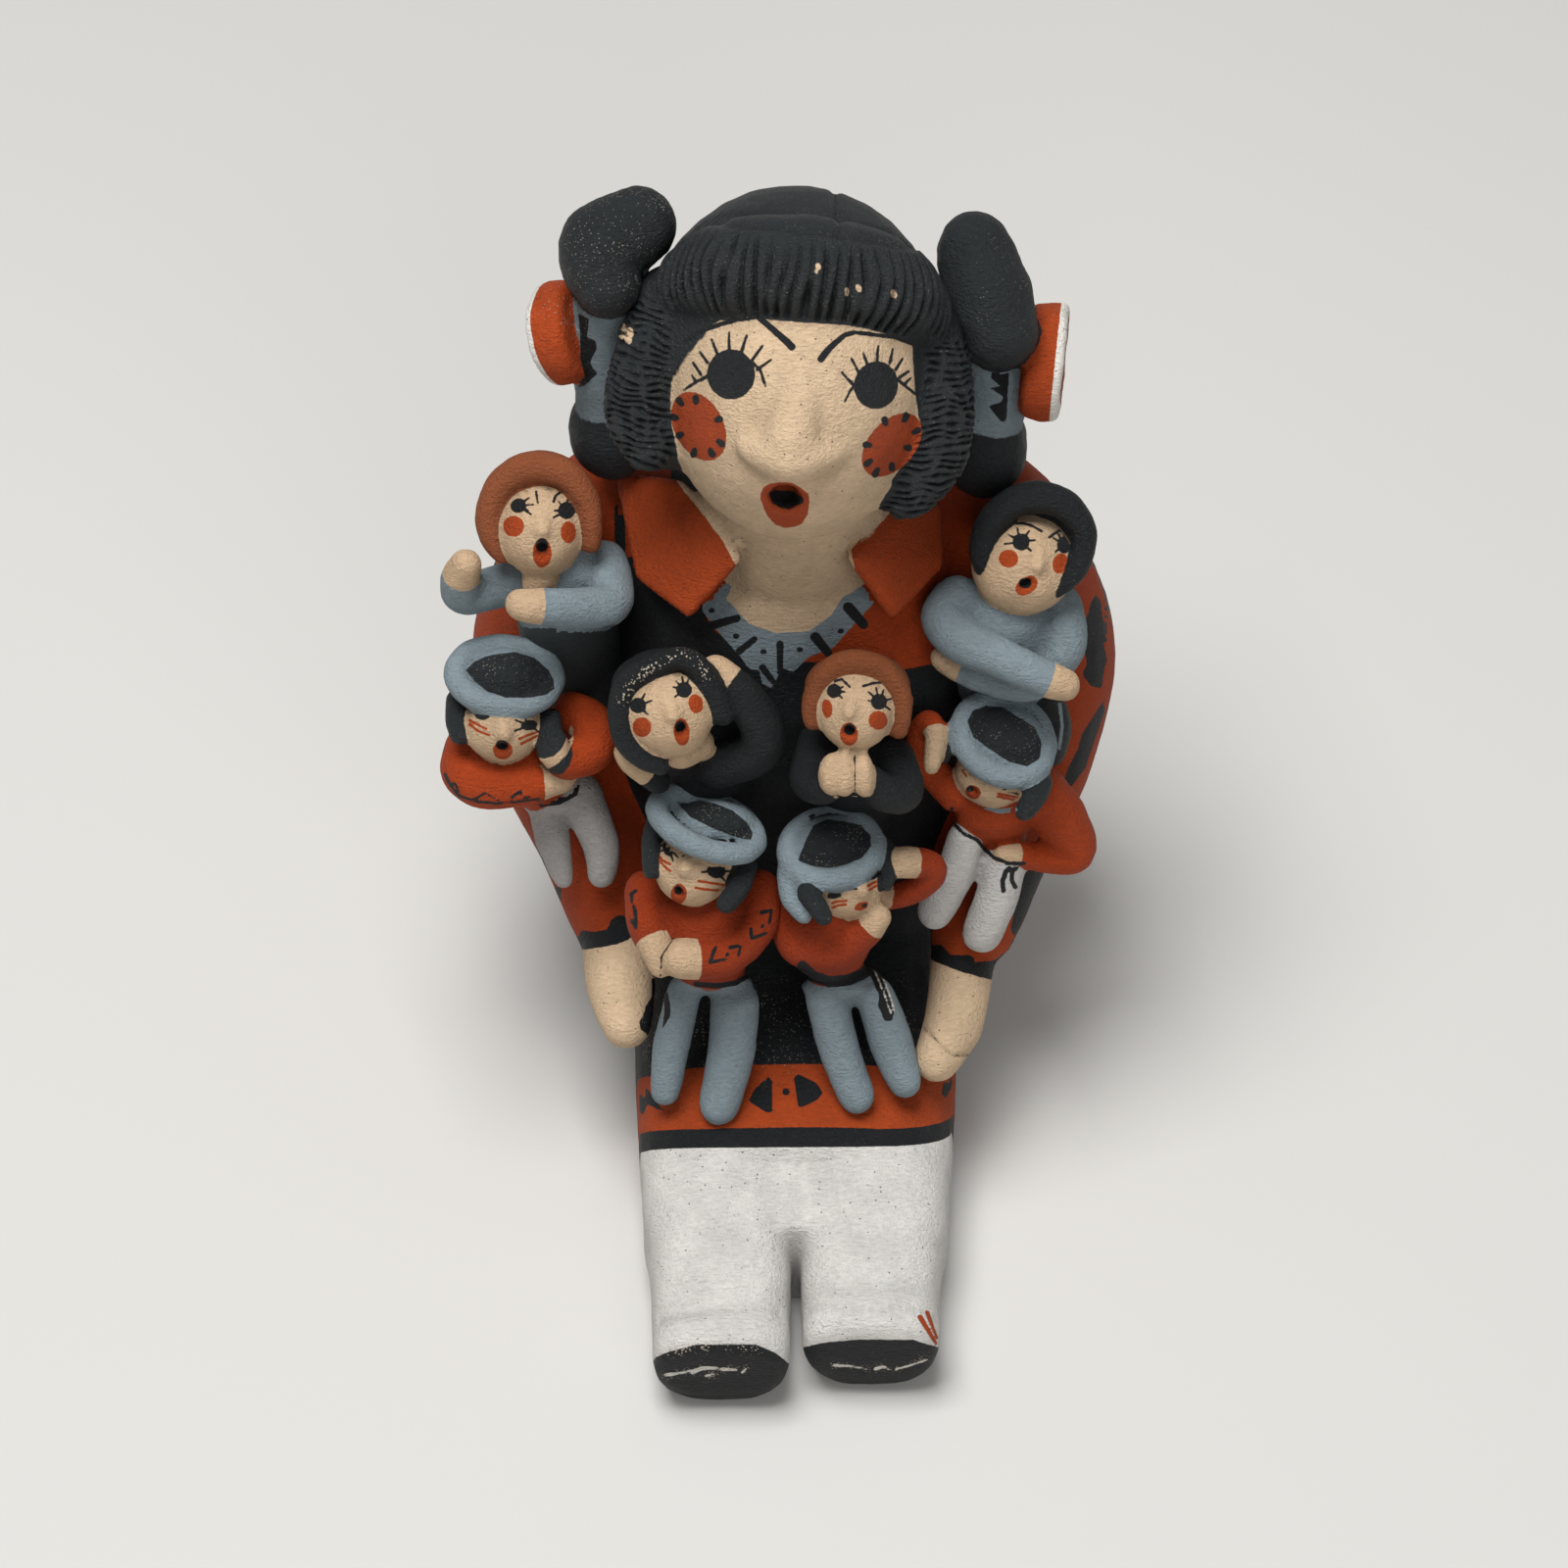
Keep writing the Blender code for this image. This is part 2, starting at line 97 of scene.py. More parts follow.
def smooth_path(points, radii):
    """Points and radii along a smooth curve through the given ones."""
    knots = [Vector(point) for point in points]
    path, sizes = [], []
    for i in range(len(knots) - 1):
        start, end = knots[i], knots[i + 1]
        pull_out = (end - (knots[i - 1] if i else start)) / 2
        pull_in = ((knots[i + 2] if i + 2 < len(knots) else end) - start) / 2
        for step in range(STEPS_ALONG):
            t = step / STEPS_ALONG
            a = 2 * t ** 3 - 3 * t ** 2 + 1
            curve = start * a + pull_out * (t ** 3 - 2 * t ** 2 + t)
            path.append(curve + end * (1 - a) + pull_in * (t ** 3 - t ** 2))
            sizes.append(radii[i] + (radii[i + 1] - radii[i]) * t)
    return path + [knots[-1]], sizes + [radii[-1]]


def disc_places(path, sizes):
    """Where a disc of radius one goes at each step along a path, with steps for a round end at both ends."""
    ahead = [(b - a).normalized() for a, b in zip(path, path[1:])]
    ahead.append(ahead[-1])
    first, last = path[0], path[-1]
    thin, thick = sizes[0], sizes[-1]
    for sine, cosine in ROUND_END:
        path = [first - ahead[0] * thin * sine] + path + [last + ahead[-1] * thick * sine]
        sizes = [thin * cosine] + sizes + [thick * cosine]
        ahead = ahead[:1] + ahead + ahead[-1:]
    side = ahead[0].orthogonal()
    places = []
    for centre, size, forward in zip(path, sizes, ahead):
        side = (side - forward * side.dot(forward)).normalized()
        place = Matrix((side * size, forward.cross(side) * size, forward * size)).transposed().to_4x4()
        place.translation = centre
        places.append(place)
    return places


def pushed_disc(places, squareness=2.0):
    """A disc, square to some degree, that is extruded from each place to the next."""
    form = bmesh.new()
    bmesh.ops.create_circle(form, cap_ends=True, segments=SIDES, radius=1)
    for vert in form.verts:
        x, y = vert.co.x, vert.co.y
        vert.co.x = math.copysign(abs(x) ** (2 / squareness), x)
        vert.co.y = math.copysign(abs(y) ** (2 / squareness), y)
    bmesh.ops.transform(form, matrix=places[0], verts=form.verts)
    form.faces.ensure_lookup_table()
    face = form.faces[0]
    for here, there in zip(places, places[1:]):
        pushed = bmesh.ops.extrude_face_region(form, geom=[face])
        face = next(item for item in pushed["geom"] if isinstance(item, bmesh.types.BMFace))
        bmesh.ops.transform(form, matrix=there @ here.inverted(), verts=face.verts)
    bmesh.ops.recalc_face_normals(form, faces=form.faces)
    return form


# %% [markdown]
# ## Distance to a form
#
# A signed distance is negative inside a form and positive outside it. For a coil it is the distance to the
# nearest point of its path less the radius there. For a ball and a block it is worked out from how many
# times larger the form would have to be to reach the point.

# %% Distances
def far_from_coil(points, path, sizes, ends=()):
    """The ends are planes, each a point and a direction away from the coil, that cut the coil off."""
    distance = np.full(len(points), np.inf)
    for centre, size in zip(path, sizes):
        distance = np.minimum(distance, np.linalg.norm(points - np.array(centre), axis=1) - size)
    for centre, away in ends:
        distance = np.maximum(distance, (points - np.array(centre)) @ np.array(away.normalized()))
    return distance


def seen_from(place, points):
    """The points in the frame of a place."""
    inverse = np.array(place.inverted())
    return points @ inverse[:3, :3].T + inverse[:3, 3]


def far_from_ball(points, place, radii):
    scaled = seen_from(place, points) / np.array(radii)
    size = np.linalg.norm(scaled, axis=1) + 1e-9
    steepness = np.linalg.norm(scaled / np.array(radii), axis=1) + 1e-9
    return size * (size - 1) / steepness


def far_from_block(points, stations, across, upward, squareness):
    across, upward = np.array(across, float), np.array(upward, float)
    along = np.cross(across, upward)
    where = points @ along
    order = np.argsort([np.dot(middle, along) for middle, _, _ in stations])
    marks = [float(np.dot(stations[i][0], along)) for i in order]
    middle_x = np.interp(where, marks, [float(np.dot(stations[i][0], across)) for i in order])
    middle_y = np.interp(where, marks, [float(np.dot(stations[i][0], upward)) for i in order])
    half_x = np.interp(where, marks, [stations[i][1] for i in order])
    half_y = np.interp(where, marks, [stations[i][2] for i in order])
    x = points @ across - middle_x
    y = points @ upward - middle_y
    size = (np.abs(x / half_x) ** squareness + np.abs(y / half_y) ** squareness) ** (1 / squareness) + 1e-9
    around = np.hypot(x, y) * (1 - 1 / size)
    return np.maximum(around, np.maximum(marks[0] - where, where - marks[-1]))


# %% [markdown]
# ## Shapes of paint
#
# Brush marks are measured on a flat map, such as the face looked at from the front. They are signed
# distances as well: a disc, a line of the brush and a patch with corners. Thin marks stay sharp this way on
# a mesh whose faces are wider than the mark's edge, because the distance runs evenly across each face.

# %% Marks on a flat map
def disc(x, y, centre, radii, turn=0.0):
    cosine, sine = math.cos(math.radians(turn)), math.sin(math.radians(turn))
    right = (x - centre[0]) * cosine + (y - centre[1]) * sine
    up = (y - centre[1]) * cosine - (x - centre[0]) * sine
    return (np.hypot(right / radii[0], up / radii[1]) - 1) * min(radii)


def stroke(x, y, points, width, end_width=None):
    """A brush line through the points, that may swell or thin towards its end."""
    end_width = width if end_width is None else end_width
    distance = np.full(len(x), np.inf)
    pieces = len(points) - 1
    for k, ((x0, y0), (x1, y1)) in enumerate(zip(points, points[1:])):
        run, rise = x1 - x0, y1 - y0
        t = np.clip(((x - x0) * run + (y - y0) * rise) / (run * run + rise * rise), 0, 1)
        size = width + (end_width - width) * (k + t) / pieces
        distance = np.minimum(distance, np.hypot(x - x0 - t * run, y - y0 - t * rise) - size / 2)
    return distance


def patch(x, y, corners):
    """A patch with straight sides between its corners."""
    nearest = np.full(len(x), np.inf)
    inside = np.zeros(len(x), bool)
    for (x0, y0), (x1, y1) in zip(corners, corners[1:] + corners[:1]):
        run, rise = x1 - x0, y1 - y0
        t = np.clip(((x - x0) * run + (y - y0) * rise) / (run * run + rise * rise), 0, 1)
        nearest = np.minimum(nearest, np.hypot(x - x0 - t * run, y - y0 - t * rise))
        crosses = (y0 > y) != (y1 > y)
        with np.errstate(divide="ignore", invalid="ignore"):
            inside ^= crosses & (x < x0 + (y - y0) * run / rise if rise else False)
    return np.where(inside, -nearest, nearest)


# %% [markdown]
# ## A piece of clay work
#
# `Clay` collects the forms of one piece. `press` adds a form's mesh, and each part of the piece, such as
# its hair or its hands, keeps the distances of its own forms.

# %% Collecting forms
class Clay:
    def __init__(self, name):
        self.name = name
        self.shape = bmesh.new()
        self.parts = {}

    def press(self, form):
        mesh = bpy.data.meshes.new("form")
        form.to_mesh(mesh)
        form.free()
        self.shape.from_mesh(mesh)
        bpy.data.meshes.remove(mesh)

    def remember(self, part, outside):
        self.parts.setdefault(part, []).append(outside)

    def ball(self, part, place, radii):
        form = bmesh.new()
        spread = Matrix.Diagonal((*radii, 1))
        bmesh.ops.create_uvsphere(form, u_segments=32, v_segments=20, radius=1, matrix=place @ spread)
        self.press(form)
        self.remember(part, lambda points: far_from_ball(points, place, radii))

    def roll(self, points, radii, *parts):
        """A coil. Each part is a name and the knot of the path from which the coil belongs to it."""
        path, sizes = smooth_path(points, radii)
        self.press(pushed_disc(disc_places(path, sizes)))
        last = len(path) - 1
        starts = [round(knot * STEPS_ALONG) for _, knot in parts] + [last]
        for (part, _), start, stop in zip(parts, starts, starts[1:]):
            ends = [(path[start], path[start] - path[start + 1])] if start > 0 else []
            ends += [(path[stop], path[stop] - path[stop - 1])] if stop < last else []
            stretch = (path[start:stop + 1], sizes[start:stop + 1], ends)
            self.remember(part, lambda points, stretch=stretch: far_from_coil(points, *stretch))
        return path

    def block(self, part, stations, across, upward, squareness):
        """A shaped block, pushed through stations that are each a middle, half a width and half a height."""
        across, upward = Vector(across), Vector(upward)
        places = []
        for middle, half_width, half_height in stations:
            columns = (across * half_width, upward * half_height, across.cross(upward) * half_width)
            place = Matrix(columns).transposed().to_4x4()
            place.translation = Vector(middle)
            places.append(place)
        self.press(pushed_disc(places, squareness))
        self.remember(part, lambda points: far_from_block(points, stations, across, upward, squareness))

    def flap(self, part, corners, thickness):
        """A flat piece with round edges, stretched over small balls at its corners."""
        form = bmesh.new()
        for corner in corners:
            place = Matrix.Translation(Vector(corner))
            bmesh.ops.create_icosphere(form, subdivisions=2, radius=thickness / 2, matrix=place)
        hull = bmesh.ops.convex_hull(form, input=form.verts)
        inside = [item for item in hull["geom_interior"] if isinstance(item, bmesh.types.BMVert)]
        bmesh.ops.delete(form, geom=inside, context="VERTS")
        self.press(form)
        middle = sum((Vector(corner) for corner in corners), Vector()) / len(corners)
        right = (Vector(corners[1]) - middle).normalized()
        out = right.cross(Vector(corners[3]) - middle).normalized()
        up = out.cross(right)
        flat = [((Vector(c) - middle).dot(right), (Vector(c) - middle).dot(up)) for c in corners]

        def outside(points):
            local = points - np.array(middle)
            within = patch(local @ np.array(right), local @ np.array(up), flat)
            return np.maximum(within, np.abs(local @ np.array(out))) - thickness / 2

        self.remember(part, outside)

    def distance(self, part, points):
        return np.min([outside(points) for outside in self.parts[part]], axis=0)


# %% [markdown]
# ## One skin of wet clay
#
# A voxel remesh joins the forms of a piece into one closed skin of small, even faces, as pressing and
# smearing does with real clay. Mouths are poked in with a Boolean, a second remesh gives their walls the
# same even faces, and a Smooth modifier wets the joints. The modifiers are applied, because the hair and
# the paint that follow need the finished points. Where the paint is finest, the faces are cut into four.

# %% Pressing, smoothing and cutting finer
def new_object(name, mesh):
    made = bpy.data.objects.new(name, mesh)
    bpy.context.scene.collection.objects.link(made)
    return made


def one_skin(clay, grain, passes, mouths=None):
    mesh = bpy.data.meshes.new(clay.name)
    clay.shape.to_mesh(mesh)
    clay.shape.free()
    rough = new_object(clay.name, mesh)
    helpers = [rough]
    press = rough.modifiers.new("pressed_together", "REMESH")
    press.mode = "VOXEL"
    press.voxel_size = grain
    if mouths:
        poke = new_object("mouths", bpy.data.meshes.new("mouths"))
        mouths.shape.to_mesh(poke.data)
        helpers.append(poke)
        opening = rough.modifiers.new("mouth", "BOOLEAN")
        opening.object = poke
        again = rough.modifiers.new("even_faces", "REMESH")
        again.mode = "VOXEL"
        again.voxel_size = grain
    wet = rough.modifiers.new("smoothed", "SMOOTH")
    wet.factor = 0.5
    wet.iterations = passes
    bpy.context.view_layer.update()
    evaluated = rough.evaluated_get(bpy.context.evaluated_depsgraph_get())
    skin = bpy.data.meshes.new_from_object(evaluated)
    for helper in helpers:
        bpy.data.objects.remove(helper)
    return Skin(clay.name, skin)


class Skin:
    """The surface of a piece, as arrays that can be measured and moved."""

    def __init__(self, name, mesh):
        self.name = name
        self.mesh = mesh
        self.read()

    def read(self):
        count = len(self.mesh.vertices)
        self.points = np.empty(count * 3)
        self.normals = np.empty(count * 3)
        self.mesh.vertices.foreach_get("co", self.points)
        self.mesh.vertex_normals.foreach_get("vector", self.normals)
        self.points = self.points.reshape(-1, 3)
        self.normals = self.normals.reshape(-1, 3)

    def push_out(self, amount):
        """Move each point along its normal."""
        moved = self.points + self.normals * amount[:, None]
        self.mesh.vertices.foreach_set("co", moved.ravel())
        self.mesh.update()
        self.read()

    def cut_finer(self, chosen):
        """Cut the faces whose corners are all chosen into four."""
        shape = bmesh.new()
        shape.from_mesh(self.mesh)
        edges = [edge for edge in shape.edges if chosen[edge.verts[0].index] and chosen[edge.verts[1].index]]
        bmesh.ops.subdivide_edges(shape, edges=edges, cuts=1, use_grid_fill=True)
        shape.to_mesh(self.mesh)
        shape.free()
        self.mesh.update()
        self.read()

    def make_uneven(self, amount, spacing):
        """The hollows that fingers leave, and smaller ones in them."""
        large = [noise.noise(Vector(point) / spacing) for point in self.points]
        small = [noise.noise(Vector(point) * 3.7 / spacing) for point in self.points]
        self.push_out(amount * (np.array(large) + 0.3 * np.array(small)))

    def keep(self, name, values):
        """Store a number at each point, for the material."""
        attribute = self.mesh.attributes.new(name, "FLOAT", "POINT")
        attribute.data.foreach_set("value", np.asarray(values, np.float32))

    def keep_ridges(self):
        """How sharply the skin bends outward at each point, as one over the bend's radius in millimetres."""
        edges = np.empty(len(self.mesh.edges) * 2, int)
        self.mesh.edges.foreach_get("vertices", edges)
        start, end = edges.reshape(-1, 2).T
        total = len(self.points)
        count = np.maximum(np.bincount(start, minlength=total) + np.bincount(end, minlength=total), 1)

        def middle(values):
            return (np.bincount(start, values[end], total) + np.bincount(end, values[start], total)) / count

        gaps = np.sum((self.points[start] - self.points[end]) ** 2, axis=1)
        spread = (np.bincount(start, gaps, total) + np.bincount(end, gaps, total)) / count
        around = np.column_stack([middle(column) for column in self.points.T])
        bend = 2 * np.sum((self.points - around) * self.normals, axis=1) / np.maximum(spread, 1e-6)
        for _ in range(2):
            bend = 0.5 * bend + 0.5 * middle(bend)
        self.keep("ridge", np.clip(bend, -2, 2))


# %% [markdown]
# ## Coats of slip
#
# Slip is a thin coloured clay, brushed on in opaque coats. The coats below are named for their pots and
# listed in the order in which they lie on each other. Every point of a piece stores one number for every
# coat: how far in millimetres it lies outside the coat's edge. The material turns these numbers into paint
# with hand-drawn edges.

# %% Coats
RED_EARTH = "9D380A"
WORN_RED = "8E3009"
BLACK = "15181A"
WORN_BLACK = "202426"
HAIR_BROWN = "7C4425"
# The children's cream slip is a darker copy of the mother's, as painted shade on faces under her head and
# arms.
SHADED_CHILD_SKIN = "C2A585"
POTS = ("black", "white", "grey", "skin", "red", "ink", "chalk")
UNPAINTED = 9.0


class Coats:
    def __init__(self, clay, skin):
        self.clay = clay
        self.skin = skin
        self.edges = {pot: np.full(len(skin.points), UNPAINTED) for pot in POTS}
        self.rubbed = np.zeros(len(skin.points))

    def dip(self, base, **pots):
        """Paint whole parts: the base parts keep the body colour, and each pot covers the parts it names."""
        lower = np.min([self.clay.distance(part, self.skin.points) for part in base], axis=0)
        for pot in POTS:
            if pot in pots:
                here = np.min([self.clay.distance(part, self.skin.points) for part in pots[pot]], axis=0)
                self.lay(pot, (here - lower) / 2)
                lower = np.minimum(lower, here)

    def lay(self, pot, distance, only=None):
        """Add a shape to a coat, if wanted only where another distance is negative."""
        if only is not None:
            distance = np.maximum(distance, only)
        self.edges[pot] = np.minimum(self.edges[pot], distance)

    def wipe(self, pot, distance):
        """Take a shape out of a coat."""
        self.edges[pot] = np.maximum(self.edges[pot], -distance)

    def rub(self, amount, distance, reach):
        """Wear the paint inside a shape, and less and less within some millimetres outside it."""
        self.rubbed = np.maximum(self.rubbed, amount * np.clip(1 - np.maximum(distance, 0) / reach, 0, 1))

    def store(self):
        for pot, edge in self.edges.items():
            self.skin.keep(pot, np.clip(edge, -UNPAINTED, UNPAINTED))
        self.skin.keep("rubbed", self.rubbed)
        self.skin.keep_ridges()


# %% [markdown]
# ## The photograph as a map
#
# Where a form or a brush mark can be seen in the photograph, its place is simply read there. `seen_at`
# turns a pixel and a depth into a point of the figure. The depth is how many millimetres the point lies
# nearer to the camera than the spot that the camera looks at. `photo_map` goes the other way: it tells at
# which pixel the photograph shows a point, so a mark is drawn on a piece with the pixels that it covers.
# The photograph shows a millimetre of the figure as about 5 pixels. Marks on sides that it doesn't show are
# made up in keeping.

# %% From pixels to points and back
PICTURE = 1600
PIXELS_IN_MM = 4.9
CELL = 4
HIDDEN_BEHIND = 3
UPWARD = Vector((0, math.sin(ELEVATION), math.cos(ELEVATION)))
NEARER = Vector((0, -math.cos(ELEVATION), math.sin(ELEVATION)))


def seen_at(px, py, nearer):
    """The point that the photograph shows at a pixel, so many millimetres nearer than the spot looked at."""
    scale = PICTURE * lens.lens / lens.sensor_width / (DISTANCE / MILLIMETRE - nearer)
    across, up = (px - PICTURE / 2) / scale, (PICTURE / 2 - py) / scale
    return LOOKED_AT / MILLIMETRE - AXIS_TO_MIDDLE + Vector((across, 0, 0)) + UPWARD * up + NEARER * nearer


def photo_map(points):
    """Pixels from the left side of the photograph, and down from its top."""
    from_lens = (points + np.array(AXIS_TO_MIDDLE)) * MILLIMETRE - np.array(camera.location)
    scale = PICTURE * lens.lens / lens.sensor_width / -(from_lens @ np.array(NEARER))
    return PICTURE / 2 + from_lens[:, 0] * scale, PICTURE / 2 - from_lens @ np.array(UPWARD) * scale


class Brush:
    """Lays marks on a piece where the photograph shows them, on the side that faces it."""

    def __init__(self, coats):
        self.coats = coats
        points = coats.skin.points
        self.px, self.py = photo_map(points)
        toward_camera = coats.skin.normals @ np.array(NEARER)
        # A mark stays on skin that faces the camera by more than an eighth. Points behind the piece's own
        # front are out of sight too, so each cell of the picture keeps the nearest depth.
        nearness = points @ np.array(NEARER)
        cells = (self.py // CELL).astype(int), (self.px // CELL).astype(int)
        nearest = np.full((PICTURE // CELL, PICTURE // CELL), -np.inf)
        np.maximum.at(nearest, cells, nearness)
        self.away = np.maximum(1.0 - toward_camera * 8, nearest[cells] - nearness - HIDDEN_BEHIND)

    def to_patch(self, corners):
        """Millimetres to a patch, for laying, wiping or rubbing."""
        return patch(self.px, self.py, corners) / PIXELS_IN_MM

    def to_stroke(self, points, width=0.0, end_width=None):
        return stroke(self.px, self.py, points, width, end_width) / PIXELS_IN_MM

    def to_disc(self, centre, radii, turn=0.0):
        return disc(self.px, self.py, centre, radii, turn) / PIXELS_IN_MM

    def lay(self, pot, distance, only=None):
        self.coats.lay(pot, distance, self.away if only is None else np.maximum(self.away, only))

    def patch(self, pot, corners, only=None):
        self.lay(pot, self.to_patch(corners), only)

    def stroke(self, pot, points, width, end_width=None, only=None):
        self.lay(pot, self.to_stroke(points, width, end_width), only)

    def disc(self, pot, centre, radii, turn=0.0, only=None):
        self.lay(pot, self.to_disc(centre, radii, turn), only)


# %% [markdown]
# ## Heads
#
# A head has its own frame: x towards its left cheek, y up the face and z out of the face. Forms and marks
# are given in that frame, so a face can be painted as if it were held upright in front of the painter.

# %% A head's frame
class Head:
    def __init__(self, centre, turned, tilted, leaning):
        facing = Matrix.Rotation(math.radians(turned), 4, "Z")
        facing @= Matrix.Rotation(math.radians(90 - tilted), 4, "X")
        facing @= Matrix.Rotation(math.radians(leaning), 4, "Z")
        self.place = Matrix.Translation(Vector(centre)) @ facing

    def ball(self, clay, part, centre, radii):
        clay.ball(part, self.place @ Matrix.Translation(Vector(centre)), radii)

    def roll(self, clay, points, radii, *parts):
        clay.roll([self.place @ Vector(point) for point in points], radii, *parts)

    def on_ball(self, radii, nearer, px, py):
        """The place on a ball round the head's middle that is seen at a pixel. Its z axis points outward."""
        inward = self.place.inverted()
        out = 0.0
        for _ in range(3):
            x, y, _depth = inward @ seen_at(px, py, nearer + out)
            out = radii[2] * math.sqrt(max(0.04, 1 - (x / radii[0]) ** 2 - (y / radii[1]) ** 2))
        normal = Vector((x / radii[0] ** 2, y / radii[1] ** 2, out / radii[2] ** 2)).normalized()
        right = Vector((0, 1, 0)).cross(normal).normalized()
        facing = Matrix((right, normal.cross(right), normal)).transposed().to_4x4()
        return self.place @ Matrix.Translation((x, y, out)) @ facing

    def map(self, points):
        """Across, up and out, for each point."""
        return seen_from(self.place, points).T


def poke_mouth(mouths, place, width, height, depth, rise):
    """A mouth narrows and rises inward from a place on the face, so its lower lip shows."""
    turn = place.to_3x3()
    places = []
    for inward, share, up in ((depth, 0.45, rise), (0, 1.0, 0), (-depth, 1.3, -rise)):
        ring = (turn @ Matrix.Diagonal((width / 2 * share, height / 2 * share, 1))).to_4x4()
        ring.translation = place @ Vector((0, up, -inward))
        places.append(ring)
    mouths.press(pushed_disc(places))


# %% [markdown]
# ## Mother's body
#
# Her torso is one thick upright block, the lap and the straight legs are blocks laid flat, and each arm is
# a fat roll for the sleeve with a thinner roll for the bare forearm in it. A narrow block joins the legs at
# the knees. A fold-over collar is two flaps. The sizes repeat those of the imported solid.

# %% Forms of the body
BELOW_GROUND = 4.0
RIGHT_LEG, LEFT_LEG = 137, 133
body = Clay("mother_body")
torso = [
    ((0, 2, -BELOW_GROUND), 42, 43), ((0, 2, 6), 44, 45), ((0, 1, 40), 43, 44), ((0, 0, 80), 42, 38),
    ((0, 1, 108), 42, 36), ((0, 2, 124), 38, 33), ((0, 2, 134), 31, 29), ((0, 3, 141), 18, 20),
]
body.block("torso", torso, across=(1, 0, 0), upward=(0, 1, 0), squareness=2.3)
lap = [
    ((0, -20, 16), 36, 26), ((0, -45, 16), 36, 25), ((0, -70, 14), 35, 21), ((0, -88, 13), 34, 18),
    ((0, -90, 13), 33, 16.5),
]
body.block("lap", lap, across=(1, 0, 0), upward=(0, 0, 1), squareness=3.4)
for side, length in ((-1, RIGHT_LEG), (1, LEFT_LEG)):
    knee, ankle = side * 16.9, side * 16.0
    leg = [
        ((knee, -70, 12.5), 16.7, 16.0),
        ((knee, -92, 12.5), 16.7, 16.2),
        ((side * 16.7, -103, 12.3), 16.3, 15.9),
        ((side * 16.4, -108, 12.1), 15.4, 15.6),
        ((ankle, -length + 19, 11.5), 15.0, 15.0),
        ((ankle, -length + 12, 10.5), 14.9, 13.6),
        ((ankle, -length + 5, 11.5), 14.9, 14.4),
        ((ankle, -length + 1.5, 13), 14.2, 11.5),
        ((ankle, -length, 14), 12.0, 7.5),
    ]
    body.block("leg", leg, across=(1, 0, 0), upward=(0, 0, 1), squareness=3.2)

web = [((0, -84, 12), 8, 15.8), ((0, -104, 12), 8, 15.4), ((0, -107.5, 11.5), 6, 14.5)]
body.block("leg", web, across=(1, 0, 0), upward=(0, 0, 1), squareness=4.0)

sleeves = {}
for side, elbow in ((-1, 52.5), (1, 51.5)):
    line = [(38, 8, 118), (elbow, 3, 92), (elbow - 2, -10, 71), (43, -28, 58), (39, -41, 47.5)]
    line = [(x * side, y, z) for x, y, z in line]
    sleeves[side] = body.roll(line, [21, 18, 16.5, 13, 10], ("sleeve", 0))
body.roll([(-39, -41, 47.5), (-38.1, -56, 44.5), (-36.8, -65.6, 43)], [8.2, 7.8, 5.6], ("hand", 0))
body.roll(
    [(37, -42, 46), (35.5, -56, 41.5), (34, -64, 40), (30.5, -72, 39)], [7.5, 6.8, 6.6, 5.2], ("hand", 0),
)
body.roll([(0, -2, 128), (0, -7, 145), (0, -8, 165)], [23, 20, 19], ("neck", 0))
right_collar = [(636, 490, 39), (694, 497, 48), (750, 568, 59), (703, 622, 51), (655, 585, 44)]
left_collar = [(955, 521, 37), (918, 530, 48), (872, 568, 60), (910, 624, 49), (955, 575, 42)]
for collar in (right_collar, left_collar):
    body.flap("collar", [seen_at(*corner) for corner in collar], 3.5)
print("The body has", len(body.shape.verts), "points before it is pressed together")

# %% One skin, cut flat under the figure
body_skin = one_skin(body, grain=1.2, passes=4)
shape = bmesh.new()
shape.from_mesh(body_skin.mesh)
everything = shape.verts[:] + shape.edges[:] + shape.faces[:]
bmesh.ops.bisect_plane(shape, geom=everything, plane_co=(0, 0, 0), plane_no=(0, 0, -1), clear_outer=True)
open_edges = [edge for edge in shape.edges if edge.is_boundary]
bmesh.ops.holes_fill(shape, edges=open_edges, sides=0)
shape.to_mesh(body_skin.mesh)
shape.free()
body_skin.read()
print("The body's skin has", len(body_skin.mesh.polygons), "faces")

# %% [markdown]
# ## Marks pressed into the body
#
# A few lines are pressed into the wet clay: the crease over each instep, one where the legs part, and a
# fine drying crack across the left wrist. The first three are paths in space, and the crack is read from
# the photograph. The skin sinks along each of them.

# %% Creases and a crack
def sunk_line(points, path, width, depth):
    """How far to push each point out so that a line sinks into the skin."""
    knots, _ = smooth_path(path, [0] * len(path))
    distance = far_from_coil(points, knots, [0] * len(knots))
    return -depth * np.exp(-(distance / width) ** 2)


LEFT_WRIST = Vector((33, -68, 41))
CRACK_WIDTH = 0.5
CRACK_DEPTH = 0.5

x, y, z = body_skin.points.T
chest = (np.abs(x) < 34) & (np.abs(z - 132) < 22) & (y < np.where(np.abs(x) < 26, -16, -6))
border = (np.abs(x) < 37) & (z > 21) & (y < -64) & (y > -93) & (body.distance("lap", body_skin.points) < 2)
near_wrist = np.linalg.norm(body_skin.points - np.array(LEFT_WRIST), axis=1) < 12
body_skin.cut_finer(chest | border | (y < -126) | near_wrist)
instep_right = [(-29, -128, 21), (-23, -128.8, 24.5), (-15, -127.6, 24.7), (-4, -126.5, 21)]
instep_left = [(3, -125.6, 20), (12, -128.2, 25.5), (24, -127.7, 24.8), (30, -127, 20)]
between_legs = [(0.4, -92, 28.5), (0.1, -99, 28), (0.5, -107, 27)]
sunk = sunk_line(body_skin.points, instep_right, width=1.6, depth=0.6)
sunk += sunk_line(body_skin.points, between_legs, width=1.1, depth=0.7)
sunk += sunk_line(body_skin.points, instep_left, width=1.6, depth=0.6)
crack = [(932, 1044), (947, 1053), (958, 1064), (973, 1077.5), (990, 1077)]
